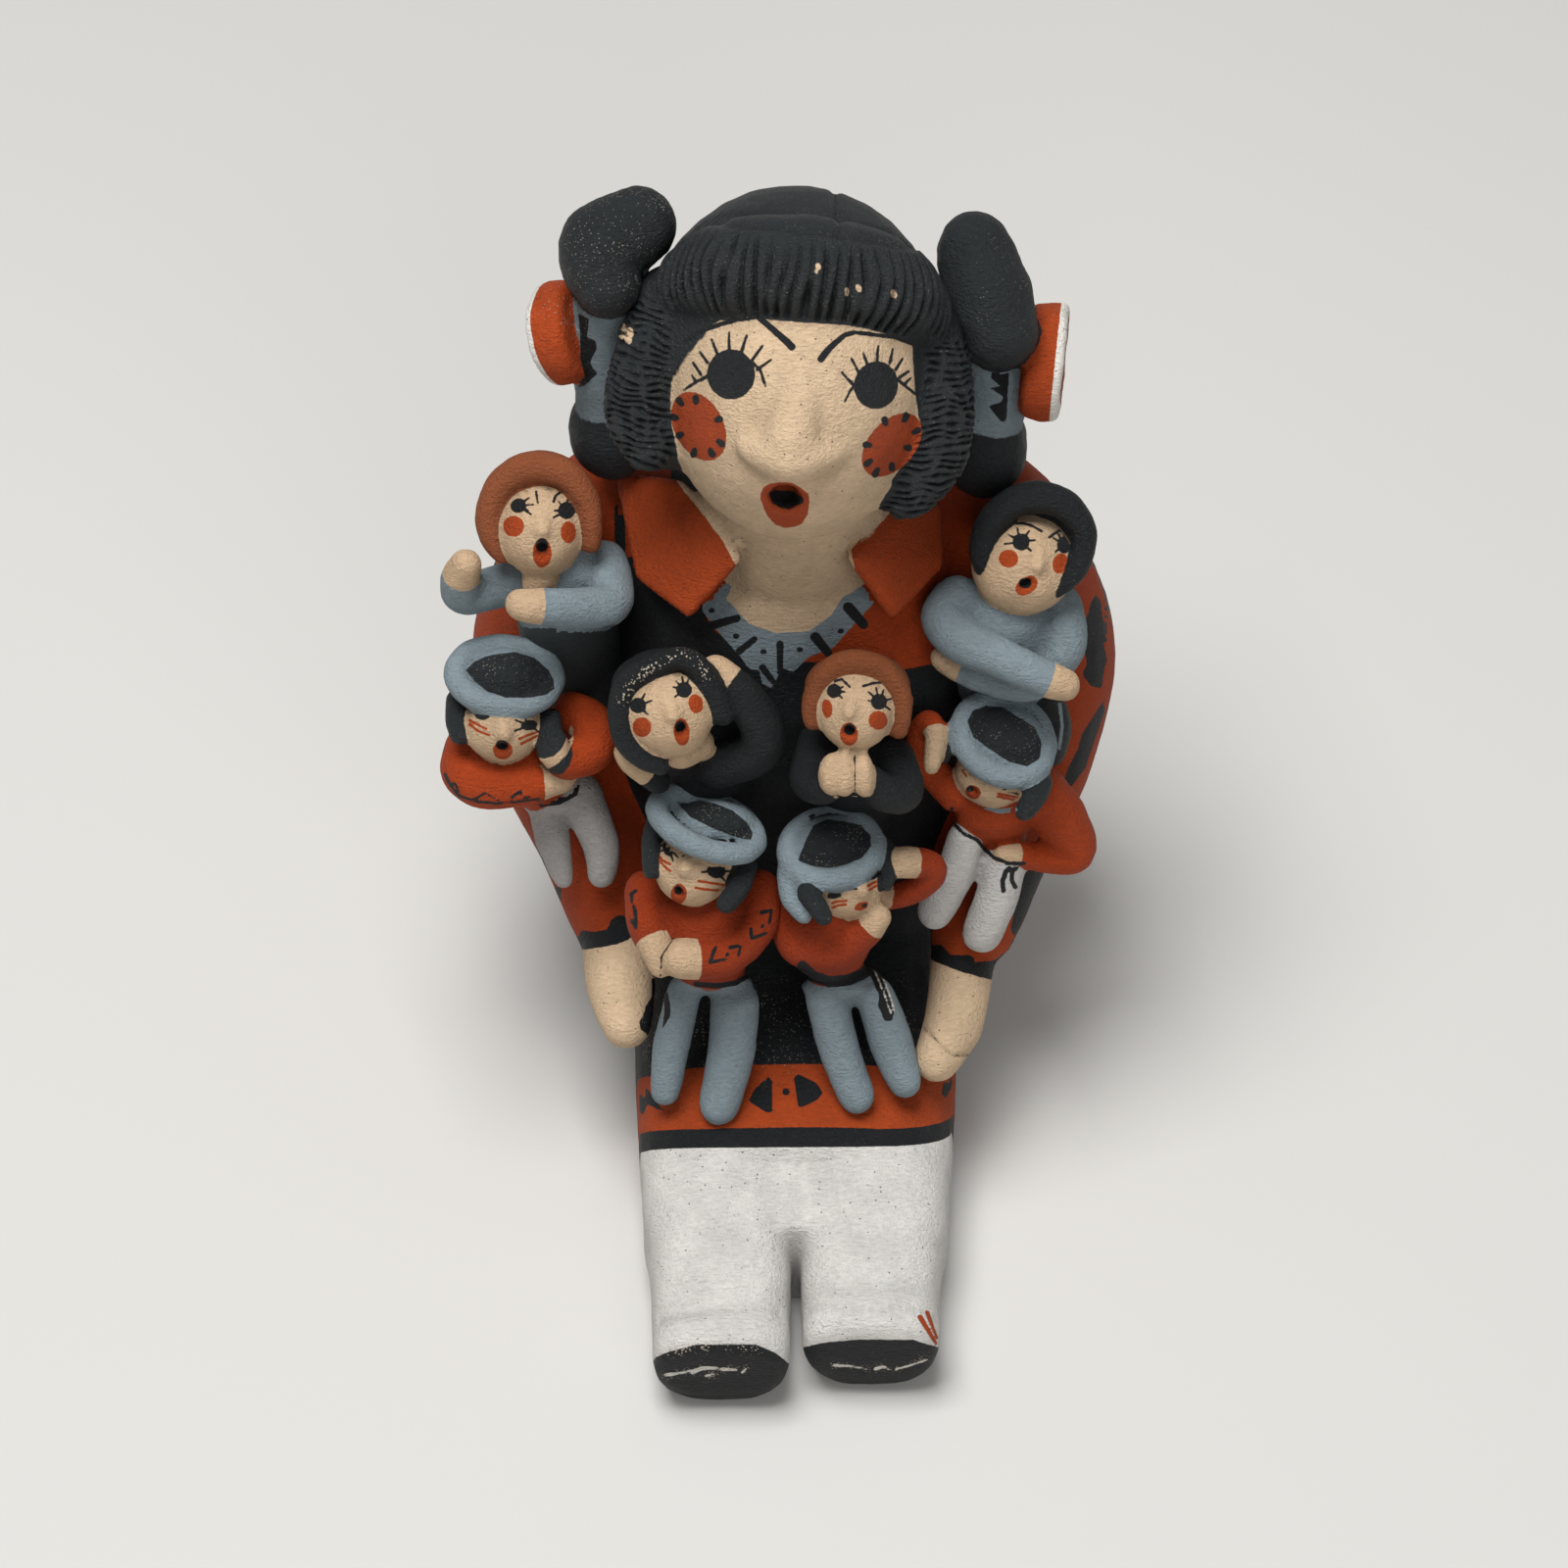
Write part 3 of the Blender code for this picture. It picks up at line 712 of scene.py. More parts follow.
from_crack = stroke(*photo_map(body_skin.points), crack, 0) / PIXELS_IN_MM
on_wrist = far_from_coil(body_skin.points, [LEFT_WRIST], [13]) < 0
seen = body_skin.normals @ np.array(NEARER) > 0.1
sunk -= CRACK_DEPTH * np.exp(-(from_crack / CRACK_WIDTH) ** 2) * on_wrist * seen
body_skin.push_out(sunk)
print("The deepest line is", round(-float(sunk.min()), 2), "mm")

# %% [markdown]
# The front of each foot is pinched narrower towards the ground. The whole body also gets the slight hollows
# of a hand-smoothed surface.

# %% Toes and hollows
PINCH = 0.34
PINCHED_LENGTH = 13
PINCHED_HEIGHT = 15
FOOT_MIDDLE = 16

x, y, z = body_skin.points.T
length = np.where(x < 0, RIGHT_LEG, LEFT_LEG)
toward_toe = np.clip((PINCHED_LENGTH - y - length) / PINCHED_LENGTH, 0, 1)
toward_ground = np.clip(1 - z / PINCHED_HEIGHT, 0, 1) ** 2
pinched = x - (x - np.sign(x) * FOOT_MIDDLE) * PINCH * toward_toe * toward_ground
body_skin.mesh.vertices.foreach_set("co", np.column_stack([pinched, y, z]).ravel())
body_skin.mesh.update()
body_skin.read()
body_skin.make_uneven(0.22, spacing=9)
print("The body has", len(body_skin.points), "points")

# %% [markdown]
# ## Painting the body
#
# The blouse is red earth, the one-shouldered dress over it black, the bib at the neck blue-grey with black
# stitches, the skirt's border red with black figures above a black hem, and the leggings white with black
# soles. The dress is drawn on a map from the front, and the skirt's border on a map that runs over the lap
# and down its sides. The bib, the neck and the figures are read from the photograph. The hidden side of
# each sleeve has a map that is rolled around it.

# %% Maps for the clothes
def rolled_map(points, path, outward):
    """Along a coil from its start, and round it from its outward side, in millimetres."""
    nearest = np.zeros(len(points), int)
    best = np.full(len(points), np.inf)
    for i, centre in enumerate(path):
        distance = np.linalg.norm(points - np.array(centre), axis=1)
        nearest[distance < best] = i
        best = np.minimum(best, distance)
    centres = np.array(path)
    ahead = np.gradient(centres, axis=0)
    ahead /= np.linalg.norm(ahead, axis=1)[:, None]
    lengths = np.concatenate([[0], np.cumsum(np.linalg.norm(np.diff(centres, axis=0), axis=1))])
    side = np.array(outward) - ahead * (ahead @ np.array(outward))[:, None]
    side /= np.linalg.norm(side, axis=1)[:, None]
    up = np.cross(side, ahead)
    offset = points - centres[nearest]
    along = lengths[nearest] + np.sum(offset * ahead[nearest], axis=1)
    right = np.sum(offset * side[nearest], axis=1)
    front = np.sum(offset * up[nearest], axis=1)
    return along, np.arctan2(front, right) * np.hypot(front, right)


# %% Dress, bib and neck
coats = Coats(body, body_skin)
coats.dip(["torso", "sleeve"], black=["lap"], white=["leg"], skin=["neck", "hand"], red=["collar"])
x, y, z = body_skin.points.T
trunk = (body.distance("torso", body_skin.points) - body.distance("sleeve", body_skin.points)) / 2
dress_front = [
    (-38.3, 152), (-30, 152), (-18, 128), (-9, 124), (8, 122), (31, 114), (46, 108), (46, -9), (-46, -9),
    (-46, 96), (-38.3, 101),
]
dress_back = [(-38.3, 152), (-22, 152), (0, 132), (46, 108), (46, -9), (-46, -9), (-46, 96), (-38.3, 101)]
coats.lay("black", patch(x, z, dress_front), only=np.maximum(trunk, y - 2))
coats.lay("black", patch(x, z, dress_back), only=np.maximum(trunk, -y))
brush = Brush(coats)
on_chest = np.maximum(y + 12, 112 - z)
bib = [
    (715, 621), (734, 646), (756, 671), (765, 683), (775, 684), (778, 698), (788, 702), (798, 681),
    (809, 686), (826, 670), (849, 662), (870, 639), (893, 614), (892, 591), (835, 548), (765, 548),
    (721, 591),
]
neck = [
    (684, 486), (734, 548), (753, 585), (741, 611), (765, 637), (791, 646), (826, 644), (848, 628),
    (866, 600), (875, 587), (870, 561), (905, 521), (914, 486),
]
brush.patch("grey", bib, only=on_chest)
brush.patch("skin", neck, only=np.maximum(y + 2, 112 - z))
coats.wipe("red", np.maximum(brush.to_patch(neck) + 0.3, brush.away))
strap = [
    (627, 517), (634, 509), (643, 512), (647, 534), (664, 587), (699, 630), (721, 648), (642, 648),
    (632, 591), (627, 548),
]
brush.patch("black", strap)
stitches = [
    ((723, 639), (752, 631), 9), ((754, 665), (770, 652), 7.4), ((796, 657), (796, 681), 7.4),
    ((832, 650), (845, 666), 10.5), ((866, 620), (881, 637), 11.5), ((778, 681), (789, 696), 7.4),
]
for start, end, width in stitches:
    brush.stroke("ink", [start, end], width, width * 0.85, only=on_chest)
for centre in [(726, 623), (751, 649), (779, 665), (816, 663), (858, 644), (796, 686)]:
    brush.disc("ink", centre, (3.4, 2.8), only=on_chest)

# %% Skirt border, hem and soles
drop = np.interp(x, [-34, 34], [0.6, 1.1]) * np.clip(31 - z, 0, 12)
toward_hem = drop - y
across = x + np.sign(x) * np.clip(31 - z, 0, 40) * 0.6
skirt = np.minimum(body.distance("lap", body_skin.points) - 1.5, y + 92)
coats.lay("red", np.abs(toward_hem - 77.8) - 7.4, only=skirt)
coats.lay("ink", np.abs(toward_hem - 87.6) - 2.5, only=y + 60)
coats.lay("white", 90.0 - toward_hem, only=y + 60)
figures = [
    [(764, 1123), (770, 1111), (784, 1099), (788, 1103), (788, 1135), (782, 1135), (772, 1129)],
    [(810, 1099), (815, 1096), (833, 1105), (840, 1115), (833, 1123), (816, 1131), (814, 1127)],
    [
        (645, 1109), (658, 1121), (659, 1109), (669, 1123), (679, 1135), (660, 1127), (656, 1139),
        (648, 1125),
    ],
    [(966, 1100), (972, 1099), (971, 1110), (965, 1120), (961, 1117), (962, 1107)],
]
for corners in figures:
    brush.patch("ink", corners, only=skirt)
brush.disc("ink", (802, 1114), (3.8, 3.8), only=skirt)
for left in (-50, 46):
    side_figure = [
        (left, 72), (left + 8, 78), (left + 3, 79), (left + 9, 84), (left - 1, 80), (left + 3, 77),
    ]
    coats.lay("ink", patch(across, toward_hem, side_figure), only=np.maximum(skirt, 22 - np.abs(x)))
soles = [
    [
        (666, 1390), (669, 1385), (683, 1379), (711, 1372), (772, 1372), (792, 1381), (807, 1393),
        (810, 1445), (655, 1445),
    ],
    [
        (813, 1385), (819, 1375), (841, 1370), (874, 1367), (931, 1367), (958, 1375), (975, 1385),
        (985, 1445), (812, 1445),
    ],
]
for corners in soles:
    coats.lay("ink", brush.to_patch(corners), only=y + 118)
scuffs = [
    ([(679, 1403), (690, 1402), (703, 1399)], 3.4), ([(707, 1400), (716, 1396), (731, 1396)], 5.0),
    ([(736, 1397), (752, 1398)], 3.6), ([(757, 1401), (762, 1396)], 2.6),
    ([(720, 1404), (729, 1402)], 2.4), ([(851, 1393), (868, 1394), (884, 1397)], 2.6),
    ([(893, 1397), (902, 1394), (908, 1398)], 3.0), ([(914, 1397), (930, 1393), (947, 1387)], 2.4),
]
for path, width in scuffs:
    brush.stroke("chalk", path, width, width * 0.6)
    coats.rub(0.8, brush.to_stroke(path), reach=2)
toe_edge = [(684, 1380), (711, 1374), (745, 1374), (772, 1376)]
coats.rub(0.8, brush.to_stroke(toe_edge, 3), reach=2)
lap_front = [(640, 1010), (910, 1010), (960, 1085), (640, 1085)]
coats.rub(0.4, brush.to_patch(lap_front), reach=6)
brush.stroke("red", [(939, 1344), (955, 1371)], 5.5, 3.0)
brush.stroke("red", [(946, 1339), (956, 1365)], 4.5, 2.5)
brush.stroke("red", [(662, 1354), (666, 1371)], 2.2)

# %% [markdown]
# Each sleeve ends in a stepped black cuff. The stepped figures on the outer sides of the sleeves are drawn
# from the photograph as far as it shows them, and on a map that is rolled round the sleeve where it
# doesn't.

# %% Sleeves
cuffs = [
    [
        (579, 952), (591, 956), (592, 949), (606, 951), (621, 948), (623, 939), (629, 934), (638, 934),
        (644, 945), (644, 958), (632, 963), (611, 967), (596, 969), (586, 962),
    ],
    [
        (943, 964), (960, 964), (970, 974), (993, 975), (995, 982), (1015, 980), (1023, 973), (1025, 978),
        (1021, 990), (1012, 1000), (985, 993), (963, 985), (948, 978),
    ],
]
strips = [
    [(564, 904), (573, 906), (572, 923), (566, 921)],
    [(1046, 882), (1068, 884), (1063, 923), (1040, 958), (1031, 951), (1034, 933), (1037, 914)],
    [
        (1125, 716), (1128, 724), (1117, 755), (1108, 783), (1087, 811), (1082, 805), (1090, 783),
        (1100, 764), (1104, 749),
    ],
    [
        (1118, 607), (1124, 614), (1125, 633), (1130, 639), (1126, 658), (1130, 673), (1127, 682),
        (1124, 703), (1113, 700), (1104, 688), (1109, 679), (1106, 660), (1103, 639), (1110, 627),
        (1113, 615),
    ],
]
on_sleeve = body.distance("sleeve", body_skin.points) - 1.2
left_sleeve_end = [
    (937, 952), (973, 955), (1030, 965), (1026, 981), (1013, 1000), (985, 993), (963, 985), (947, 978),
]
near_cuff = np.minimum(on_sleeve, body.distance("hand", body_skin.points) - 1.2)
brush.patch("red", left_sleeve_end, only=near_cuff)
for corners in cuffs + strips:
    brush.patch("ink", corners, only=near_cuff)
brush.stroke("ink", crack, 1.5, 1.2, only=near_cuff)
behind_hand = [
    (665, 998), (665, 1018), (659, 1026), (656, 1037), (652, 1043), (654, 1051), (659, 1054), (663, 1064),
    (675, 1064), (675, 998),
]
brush.patch("ink", behind_hand, only=near_cuff)
for row in range(6):
    brush.disc("ink", (1128.5, 612 + row * 8.2), (1.8, 2.4), only=on_sleeve)
unseen = np.maximum(on_sleeve, -0.5 - brush.away)
for side, cuff in ((-1, 97.0), (1, 99.5)):
    along, around = rolled_map(body_skin.points, sleeves[side], (side, 0, 0))
    this_side = np.maximum(unseen, -side * x)
    coats.lay("ink", np.abs(along - cuff) - 3.5, only=this_side)
    for start, reach in ((9, 25), (37, 22), (66, 18)):
        steps = [
            (start + reach * 0.30, -4), (start, 1), (start + reach * 0.16, 5), (start + reach * 0.34, 8),
            (start + reach * 0.4, 12), (start + reach * 0.58, 11), (start + reach * 0.62, 7),
            (start + reach * 0.9, 6), (start + reach, 2), (start + reach * 0.85, -3),
        ]
        coats.lay("ink", patch(along, around * side, steps), only=this_side)
coats.store()
print("The body's coats are stored:", ", ".join(coats.edges))

# %% [markdown]
# ## Mother's head
#
# A large ball for the face leans back to sing. A cap of hair covers it, a thick roll makes the fringe, and
# locks hang beside the cheeks. The nose is a short roll with a shorter one across its tip.

# %% Forms of the head
head_clay = Clay("mother_head")
head_mouth = Clay("mouth")
head = Head((-1, -4, 184), turned=2, tilted=38, leaning=-8)
head.ball(head_clay, "face", (2, -4.6, 1), (27.5, 31, 32))
head.roll(head_clay, [(1, 6, 26.5), (0.6, -4, 29.6), (0.3, -11.8, 31.4)], [4.2, 5.0, 5.8], ("face", 0))
head.roll(
    head_clay, [(-7.2, -13.4, 28.8), (0.4, -14.4, 31.6), (8.4, -13.0, 28.8)], [3.4, 5.6, 3.4], ("face", 0),
)
head.ball(head_clay, "cap", (0, 4, -6), (31, 32, 31))
fringe_line = [(-22, 16, 10), (-14, 20, 17), (0, 21.6, 21), (15, 20, 17), (23, 15, 10)]
head.roll(head_clay, fringe_line, [8, 10.5, 11.5, 10.5, 8], ("fringe", 0))
lock_lines = {
    -1: ([(-25.4, 10, 3), (-29.4, -2, 6), (-30, -12, 7), (-27.4, -18.5, 8)], [8.5, 7.4, 7.6, 6.0]),
    1: ([(25, 10, 3), (28.8, -2, 7), (29.2, -13, 9), (26, -21, 10)], [9, 8.8, 8.6, 7.0]),
}
for side, (line, radii) in lock_lines.items():
    head.roll(head_clay, line, radii, ("lock", 0))
    head.ball(head_clay, "lock", (side * 22.5, -7, -1), (12, 18, 13))
lips_place = head.place @ Matrix.Translation((0.6, -24.6, 28))
poke_mouth(head_mouth, lips_place, width=8.6, height=8.2, depth=9, rise=2.0)
head_skin = one_skin(head_clay, grain=0.88, passes=3, mouths=head_mouth)
print("The head's skin has", len(head_skin.mesh.polygons), "faces")

# %% [markdown]
# ## Combed hair
#
# The real hair is combed into the clay with a pointed stick: steep grooves down the fringe, about 2.3 mm
# apart, and short wavy crimps across the locks, about 1.5 mm apart. Each groove is a dip of the skin. The
# spacing wanders with a smooth noise, because nobody drags a stick evenly.
#
# The skin's points are too few for the sharp bottom of a groove. So the count of grooves at each point and
# the strength of the mark are stored too, and the material presses the sharp part with them.

# %% Ridges of the fringe and crimps of the locks
def soft_step(value, start, end):
    t = np.clip((value - start) / (end - start), 0, 1)
    return t * t * (3 - 2 * t)


def wander(columns, seed):
    """A smooth noise for each row of the given columns."""
    return np.array([noise.noise(Vector(row) + Vector((seed, 0, 0))) for row in np.column_stack(columns)])


def nearest_part(clay, part, points, others):
    """Below zero where a part lies nearest, in millimetres."""
    rest = np.min([clay.distance(other, points) for other in others], axis=0)
    return (clay.distance(part, points) - rest) / 2


GROOVE_SPACING = 2.3
CRIMP_SPACING = 1.5

hx, hy, hz = head.map(head_skin.points)
head_skin.cut_finer((hz > -3) & (hy > -33) & (hy < 30) & (hz + 0.9 * hy > -14))
hx, hy, hz = head.map(head_skin.points)
hair_parts = ["cap", "fringe", "lock", "face"]
on = {}
for part in hair_parts:
    others = [other for other in hair_parts if other != part]
    on[part] = nearest_part(head_clay, part, head_skin.points, others)
around_head = np.arctan2(hx, hz + 6) * 30
comb = around_head / GROOVE_SPACING + 0.6 * wander((around_head / 6, hy / 14, hz * 0), 3.0)
groove = (0.5 + 0.5 * np.cos(2 * math.pi * comb)) ** 2
combed = soft_step(-np.minimum(on["fringe"], on["cap"]), -0.2, 0.8)
combed *= soft_step(hy, 9.5, 12.5) * (1 - soft_step(hy, 25, 30.5)) * soft_step(hz, -6, 3)
combed *= np.clip(0.75 + 1.1 * wander((around_head / 2.4, hy / 7, hz * 0), 11.0), 0.12, 1.3)
combed *= 1.15 - 0.55 * soft_step(hy, 16, 26)
crimp = (hy - 0.12 * np.abs(hx)) / CRIMP_SPACING + 0.8 * wander((hx / 5, hy / 4, hz / 5), 7.0)
wave = (0.5 + 0.5 * np.cos(2 * math.pi * crimp)) ** 1.5
crimped = soft_step(-on["lock"], -0.3, 0.8) * (1 - soft_step(hy, 8, 13))
crimped *= np.clip(0.75 + 1.4 * wander((hx / 1.8, crimp / 2.0, hz / 1.8), 17.0), 0.1, 1.25)
parting = np.exp(-((hx - 5.3 + 0.06 * (hy - 30)) / 0.9) ** 2) * soft_step(hy, 29, 31)
fold = np.exp(-((hy - 30.5 + 0.004 * hx ** 2) / 0.7) ** 2) * soft_step(hz, 0, 6) * (np.abs(hx) < 22)
on_cap = soft_step(-np.minimum(on["cap"], on["fringe"]), 0, 0.8)
depth = 1.25 * groove * combed + 0.75 * wave * crimped + (0.8 * parting + 0.9 * fold) * on_cap
head_skin.push_out(-depth)
head_skin.make_uneven(0.22, spacing=6)
head_skin.keep("grooves", np.where(combed > crimped, comb, crimp))
head_skin.keep("combed", np.maximum(combed, crimped))
print("The deepest comb mark is", round(float(depth.max()), 2), "mm")

# %% [markdown]
# ## Painting the mother's face
#
# The face is a cream slip, the hair black. The eyes are round black spots with a fan of lashes, the brows
# one long stroke each, and every cheek is a red oval with short black stitches around its rim. The lips are
# red, and the deepest part of the open mouth is painted black as shade.

# %% Face
coats = Coats(head_clay, head_skin)
coats.dip(["cap", "fringe", "lock"], skin=["face"])
brush = Brush(coats)
hx, hy, hz = head.map(head_skin.points)
front = 6 - hz
hairline = [
    (699, 600), (700, 490), (689, 462), (680, 443), (674, 425), (673, 399), (676, 384), (683, 372),
    (699, 349), (714, 336), (735, 327), (755, 316), (800, 300), (931, 300), (931, 354), (932, 374),
    (934, 402), (937, 423), (940, 435), (933, 456), (925, 466), (916, 482), (910, 490), (905, 600),
]
coats.wipe("skin", -brush.to_patch(hairline))
brush.disc("ink", (746, 382), (24.6, 25.6), only=front)
brush.disc("ink", (894, 393), (22.4, 24.4), turn=12, only=front)
left_lashes = [
    ((706, 383), (710, 390)), ((707, 370), (715, 382)), ((714, 359), (722, 370)), ((726, 346), (732, 361)),
    ((744, 339), (744, 356)), ((762, 342), (757, 358)), ((778, 353), (768, 367)), ((787, 367), (773, 377)),
]
right_lashes = [
    ((859, 380), (870, 392)), ((869, 366), (876, 380)), ((881, 360), (885, 372)), ((896, 353), (895, 369)),
    ((911, 356), (908, 370)), ((921, 366), (914, 377)), ((927, 379), (918, 385)), ((929, 386), (923, 392)),
]
for tip, root in left_lashes + right_lashes:
    brush.stroke("ink", [tip, root], 2.6, 3.6, only=front)
brush.stroke("ink", [(724, 383), (710, 390), (698, 398)], 4.4, 2.6, only=front)
brush.stroke("ink", [(768, 370), (776, 378), (781, 394)], 3.8, 3.0, only=front)
brush.stroke("ink", [(875, 390), (868, 398), (862, 410)], 3.4, 2.4, only=front)
brush.stroke("ink", [(914, 386), (924, 394), (934, 402)], 3.6, 3.0, only=front)
brush.stroke("ink", [(700, 348), (715, 338), (735, 331), (752, 326), (768, 324)], 4.2, 5.4, only=front)
brush.stroke("ink", [(771, 321), (787, 335), (800, 346), (808, 354)], 6.0, 8.0, only=front)
brush.stroke("ink", [(838, 366), (844, 358), (852, 350), (862, 342), (872, 339)], 8.0, 4.6, only=front)
brush.stroke("ink", [(872, 339), (895, 342), (912, 344), (931, 351)], 4.6, 4.0, only=front)

# %% Cheeks, lips and mouth
brush.disc("red", (713, 435), (25, 37.5), turn=-28, only=front)
brush.disc("red", (910, 454), (23.5, 38), turn=41, only=front)
left_stitches = [
    (694, 410), (710, 408), (733, 428), (735, 452), (726, 462), (708, 462), (694, 444), (688, 426),
]
right_stitches = [
    (903, 430), (924, 426), (935, 440), (926, 457), (910, 476), (894, 482), (886, 472), (885, 454),
]
for centre, stitches in (((713, 435), left_stitches), ((910, 454), right_stitches)):
    for x, y in stitches:
        inward = ((centre[0] - x) * 0.09, (centre[1] - y) * 0.09)
        stitch = [(x - inward[0] * 0.7, y - inward[1] * 0.7), (x + inward[0], y + inward[1])]
        brush.stroke("ink", stitch, 7.4, 5.8, only=front)
lips = [
    (776, 504), (779, 497), (787, 493), (797, 492), (809, 493), (819, 499), (825, 504), (826, 513),
    (824, 525), (819, 534), (810, 538), (801, 539), (791, 535), (783, 527), (779, 518), (776, 510),
]
painted_mouth_shade = [
    (784, 502), (795, 500), (808, 501), (820, 508), (820, 513), (813, 516), (805, 520), (796, 518),
    (788, 513),
]
coats.lay("red", brush.to_patch(lips), only=np.maximum(front - 6, hy + 18.5))
# The deepest part of the open mouth is painted black as shade.
coats.lay("ink", brush.to_patch(painted_mouth_shade), only=hz - 25.5)
chips = [
    ((835, 272), 2.6), ((833, 277), 1.6), ((864, 296), 2.2), ((864, 300), 1.8), ((876, 294), 3.0),
    ((912, 300), 3.2), ((636, 334), 3.2), ((643, 339), 3.4), ((641, 346), 3.8), ((634, 343), 2.4),
]
for centre, size in chips:
    brush.disc("skin", centre, (size, size * 1.5), turn=-20)
coats.rub(0.16, np.minimum(on["fringe"], on["cap"]), reach=2)
coats.store()
print("The head is painted:", len(head_skin.points), "points")

# %% [markdown]
# ## Knots of hair
#
# Behind each cheek hangs a long knot of hair that is tied in the middle, so it swells above and below the
# tie. A thick round ornament stands on its outer side. The upper part of each knot is shaped as the
# photograph sees it: its path runs across and up in that view, and it is rolled three times at different
# depths, for its thickness.

# %% Forms of the knots
def upright_coin(clay, part, centre, outward, stations):
    """A thick round disc whose stations are each a distance along its axis and a radius."""
    axis = Vector(outward).normalized()
    side = axis.orthogonal().normalized()
    rings = [(Vector(centre) + axis * along, size, size) for along, size in stations]
    clay.block(part, rings, side, axis.cross(side), squareness=2.0)


knot_clay = Clay("mother_hair_knots")
upper_knots = [
    ((-37, 8, 204), [(-1.4, -6.2), (-2.8, 0.6), (4.8, 5.6)], [7.2, 9.0, 7.8]),
    ((38.5, 8, 193), [(2.9, -7.9), (0.3, 0.0), (-2.2, 8.3)], [8.2, 9.0, 7.7]),
]
for middle, line, radii in upper_knots:
    for nearer in (-5.0, 0.0, 4.0):
        path = []
        for across, up in line:
            path.append(Vector(middle) + Vector((across, 0, 0)) + UPWARD * up + NEARER * nearer)
        knot_clay.roll(path, radii, ("knot", 0))
knot_clay.ball("knot", Matrix.Translation((-38.6, 3, 157.4)), (9.0, 10, 11))
knot_clay.ball("knot", Matrix.Translation((39.4, 3, 152.5)), (9.2, 10, 12))
knot_clay.roll([(-37, 7, 197), (-39, 5, 180), (-38.6, 3, 158)], [7, 7.4, 7], ("tie", 0))
knot_clay.roll([(40, 7, 186), (41, 5, 171), (39.5, 3, 153)], [7, 7.4, 7], ("tie", 0))
ornaments = [
    ((-47.2, 6, 183.4), (-0.88, 0.22, -0.42), 10.9), ((51.2, 5, 175.6), (0.99, -0.11, -0.03), 12.3),
]
profile = [(-4, 0.84), (-3, 0.96), (0, 1.0), (3.0, 1.0), (3.9, 0.96), (4.2, 0.88)]
for centre, outward, radius in ornaments:
    stations = [(along, radius * share) for along, share in profile]
    upright_coin(knot_clay, "ornament", centre, outward, stations)
knot_skin = one_skin(knot_clay, grain=0.7, passes=4)
knot_skin.make_uneven(0.35, spacing=5)

# %% [markdown]
# The ties are blue-grey with a stepped black figure. The ornaments are red with a white rim, and their
# outer faces, which the photograph hardly shows, get a ring of black dashes.

# %% Ties and ornaments
coats = Coats(knot_clay, knot_skin)
coats.dip(["knot"], grey=["tie"], red=["ornament"])
brush = Brush(coats)
tied = knot_clay.distance("tie", knot_skin.points) - 1.5
left_figure = [
    (590, 319), (601, 326), (599, 344), (608, 348), (609, 356), (602, 370), (605, 376), (610, 381),
    (596, 394), (590, 395), (592, 374), (592, 343),
]
right_figure = [
    (1012, 379), (1030, 373), (1027, 430), (1021, 430), (1008, 414), (1021, 411), (1024, 405), (1010, 396),
    (1021, 394), (1011, 386),
]
brush.patch("ink", left_figure, only=tied)
brush.patch("ink", right_figure, only=tied)
x, y, z = knot_skin.points.T
steps = np.abs(np.mod((z - 160) / 5.2, 1) - 0.5) * 5.2 - 1.2
behind = np.maximum(6 - y, np.abs(np.abs(x) - 40) - 4)
coats.lay("ink", np.maximum(steps, behind), only=tied)
for centre, outward, radius in ornaments:
    axis = np.array(Vector(outward).normalized())
    offset = knot_skin.points - np.array(centre)
    along = offset @ axis
    off_axis = np.linalg.norm(offset - along[:, None] * axis, axis=1)
    near = np.maximum(off_axis - radius - 1.5, -along)
    coats.lay("chalk", np.maximum(2.3 - along, radius * 0.82 - off_axis), only=near)
    side = np.array(Vector(axis).orthogonal().normalized())
    angle = np.arctan2(offset @ np.cross(axis, side), offset @ side)
    spoke = np.abs(np.mod(angle * 10 / (2 * math.pi), 1) - 0.5) * radius * 0.4 - 0.75
    dashes = np.maximum(spoke, np.abs(off_axis - radius * 0.66) - 1.3)
    coats.lay("ink", dashes, only=np.maximum(near, 3 - along))
for left, amount in ((560, 0.4), (1000, 0.2)):
    upper_knot = [(left, 190), (left + 130, 190), (left + 130, 330), (left, 330)]
    coats.rub(amount, brush.to_patch(upper_knot), reach=5)
coats.store()
print("The knots have", len(knot_skin.points), "points")

# %% [markdown]
# ## The children
#
# Every child is made the same way: a ball for the face with a small nose, a ball and a coil for the hair, a
# coil for the trunk, two coils for the arms that end in bare hands, and coils for the legs where they show.
# The girls wear their hair cut straight round the face. The boys have a cap of hair in a thick headband and
# a lock beside each cheek.
#
# The photograph shows all eight from the front, so their forms are given as it shows them. A place is a
# pixel across, a pixel down and how many millimetres nearer to the camera it lies than the spot that the
# camera looks at. Each knot of a coil is such a place with the coil's radius there, in millimetres. Lips
# are given by their painted radii in pixels, and the mouth opens by 0.3 mm for each of these.

# %% Making a child
CHILD_GRAIN = 0.62
OPENING = 0.3
children = []


def headband(seen, long, short, turn, radius):
    """A ring of clay, seen as an ellipse. Its short way leans towards the camera at the bottom."""
    px, py, nearer = seen
    cosine, sine = math.cos(math.radians(turn)), math.sin(math.radians(turn))
    lean = 0.6 * math.sqrt(long ** 2 - short ** 2)
    path = []
    for k in range(13):
        angle = 2 * math.pi * k / 12
        right, down = long * math.cos(angle), short * math.sin(angle)
        across = (right * cosine - down * sine) * PIXELS_IN_MM
        below = (right * sine + down * cosine) * PIXELS_IN_MM
        path.append((px + across, py + below, nearer + lean * math.sin(angle), radius))
    return path, ("band", 0)


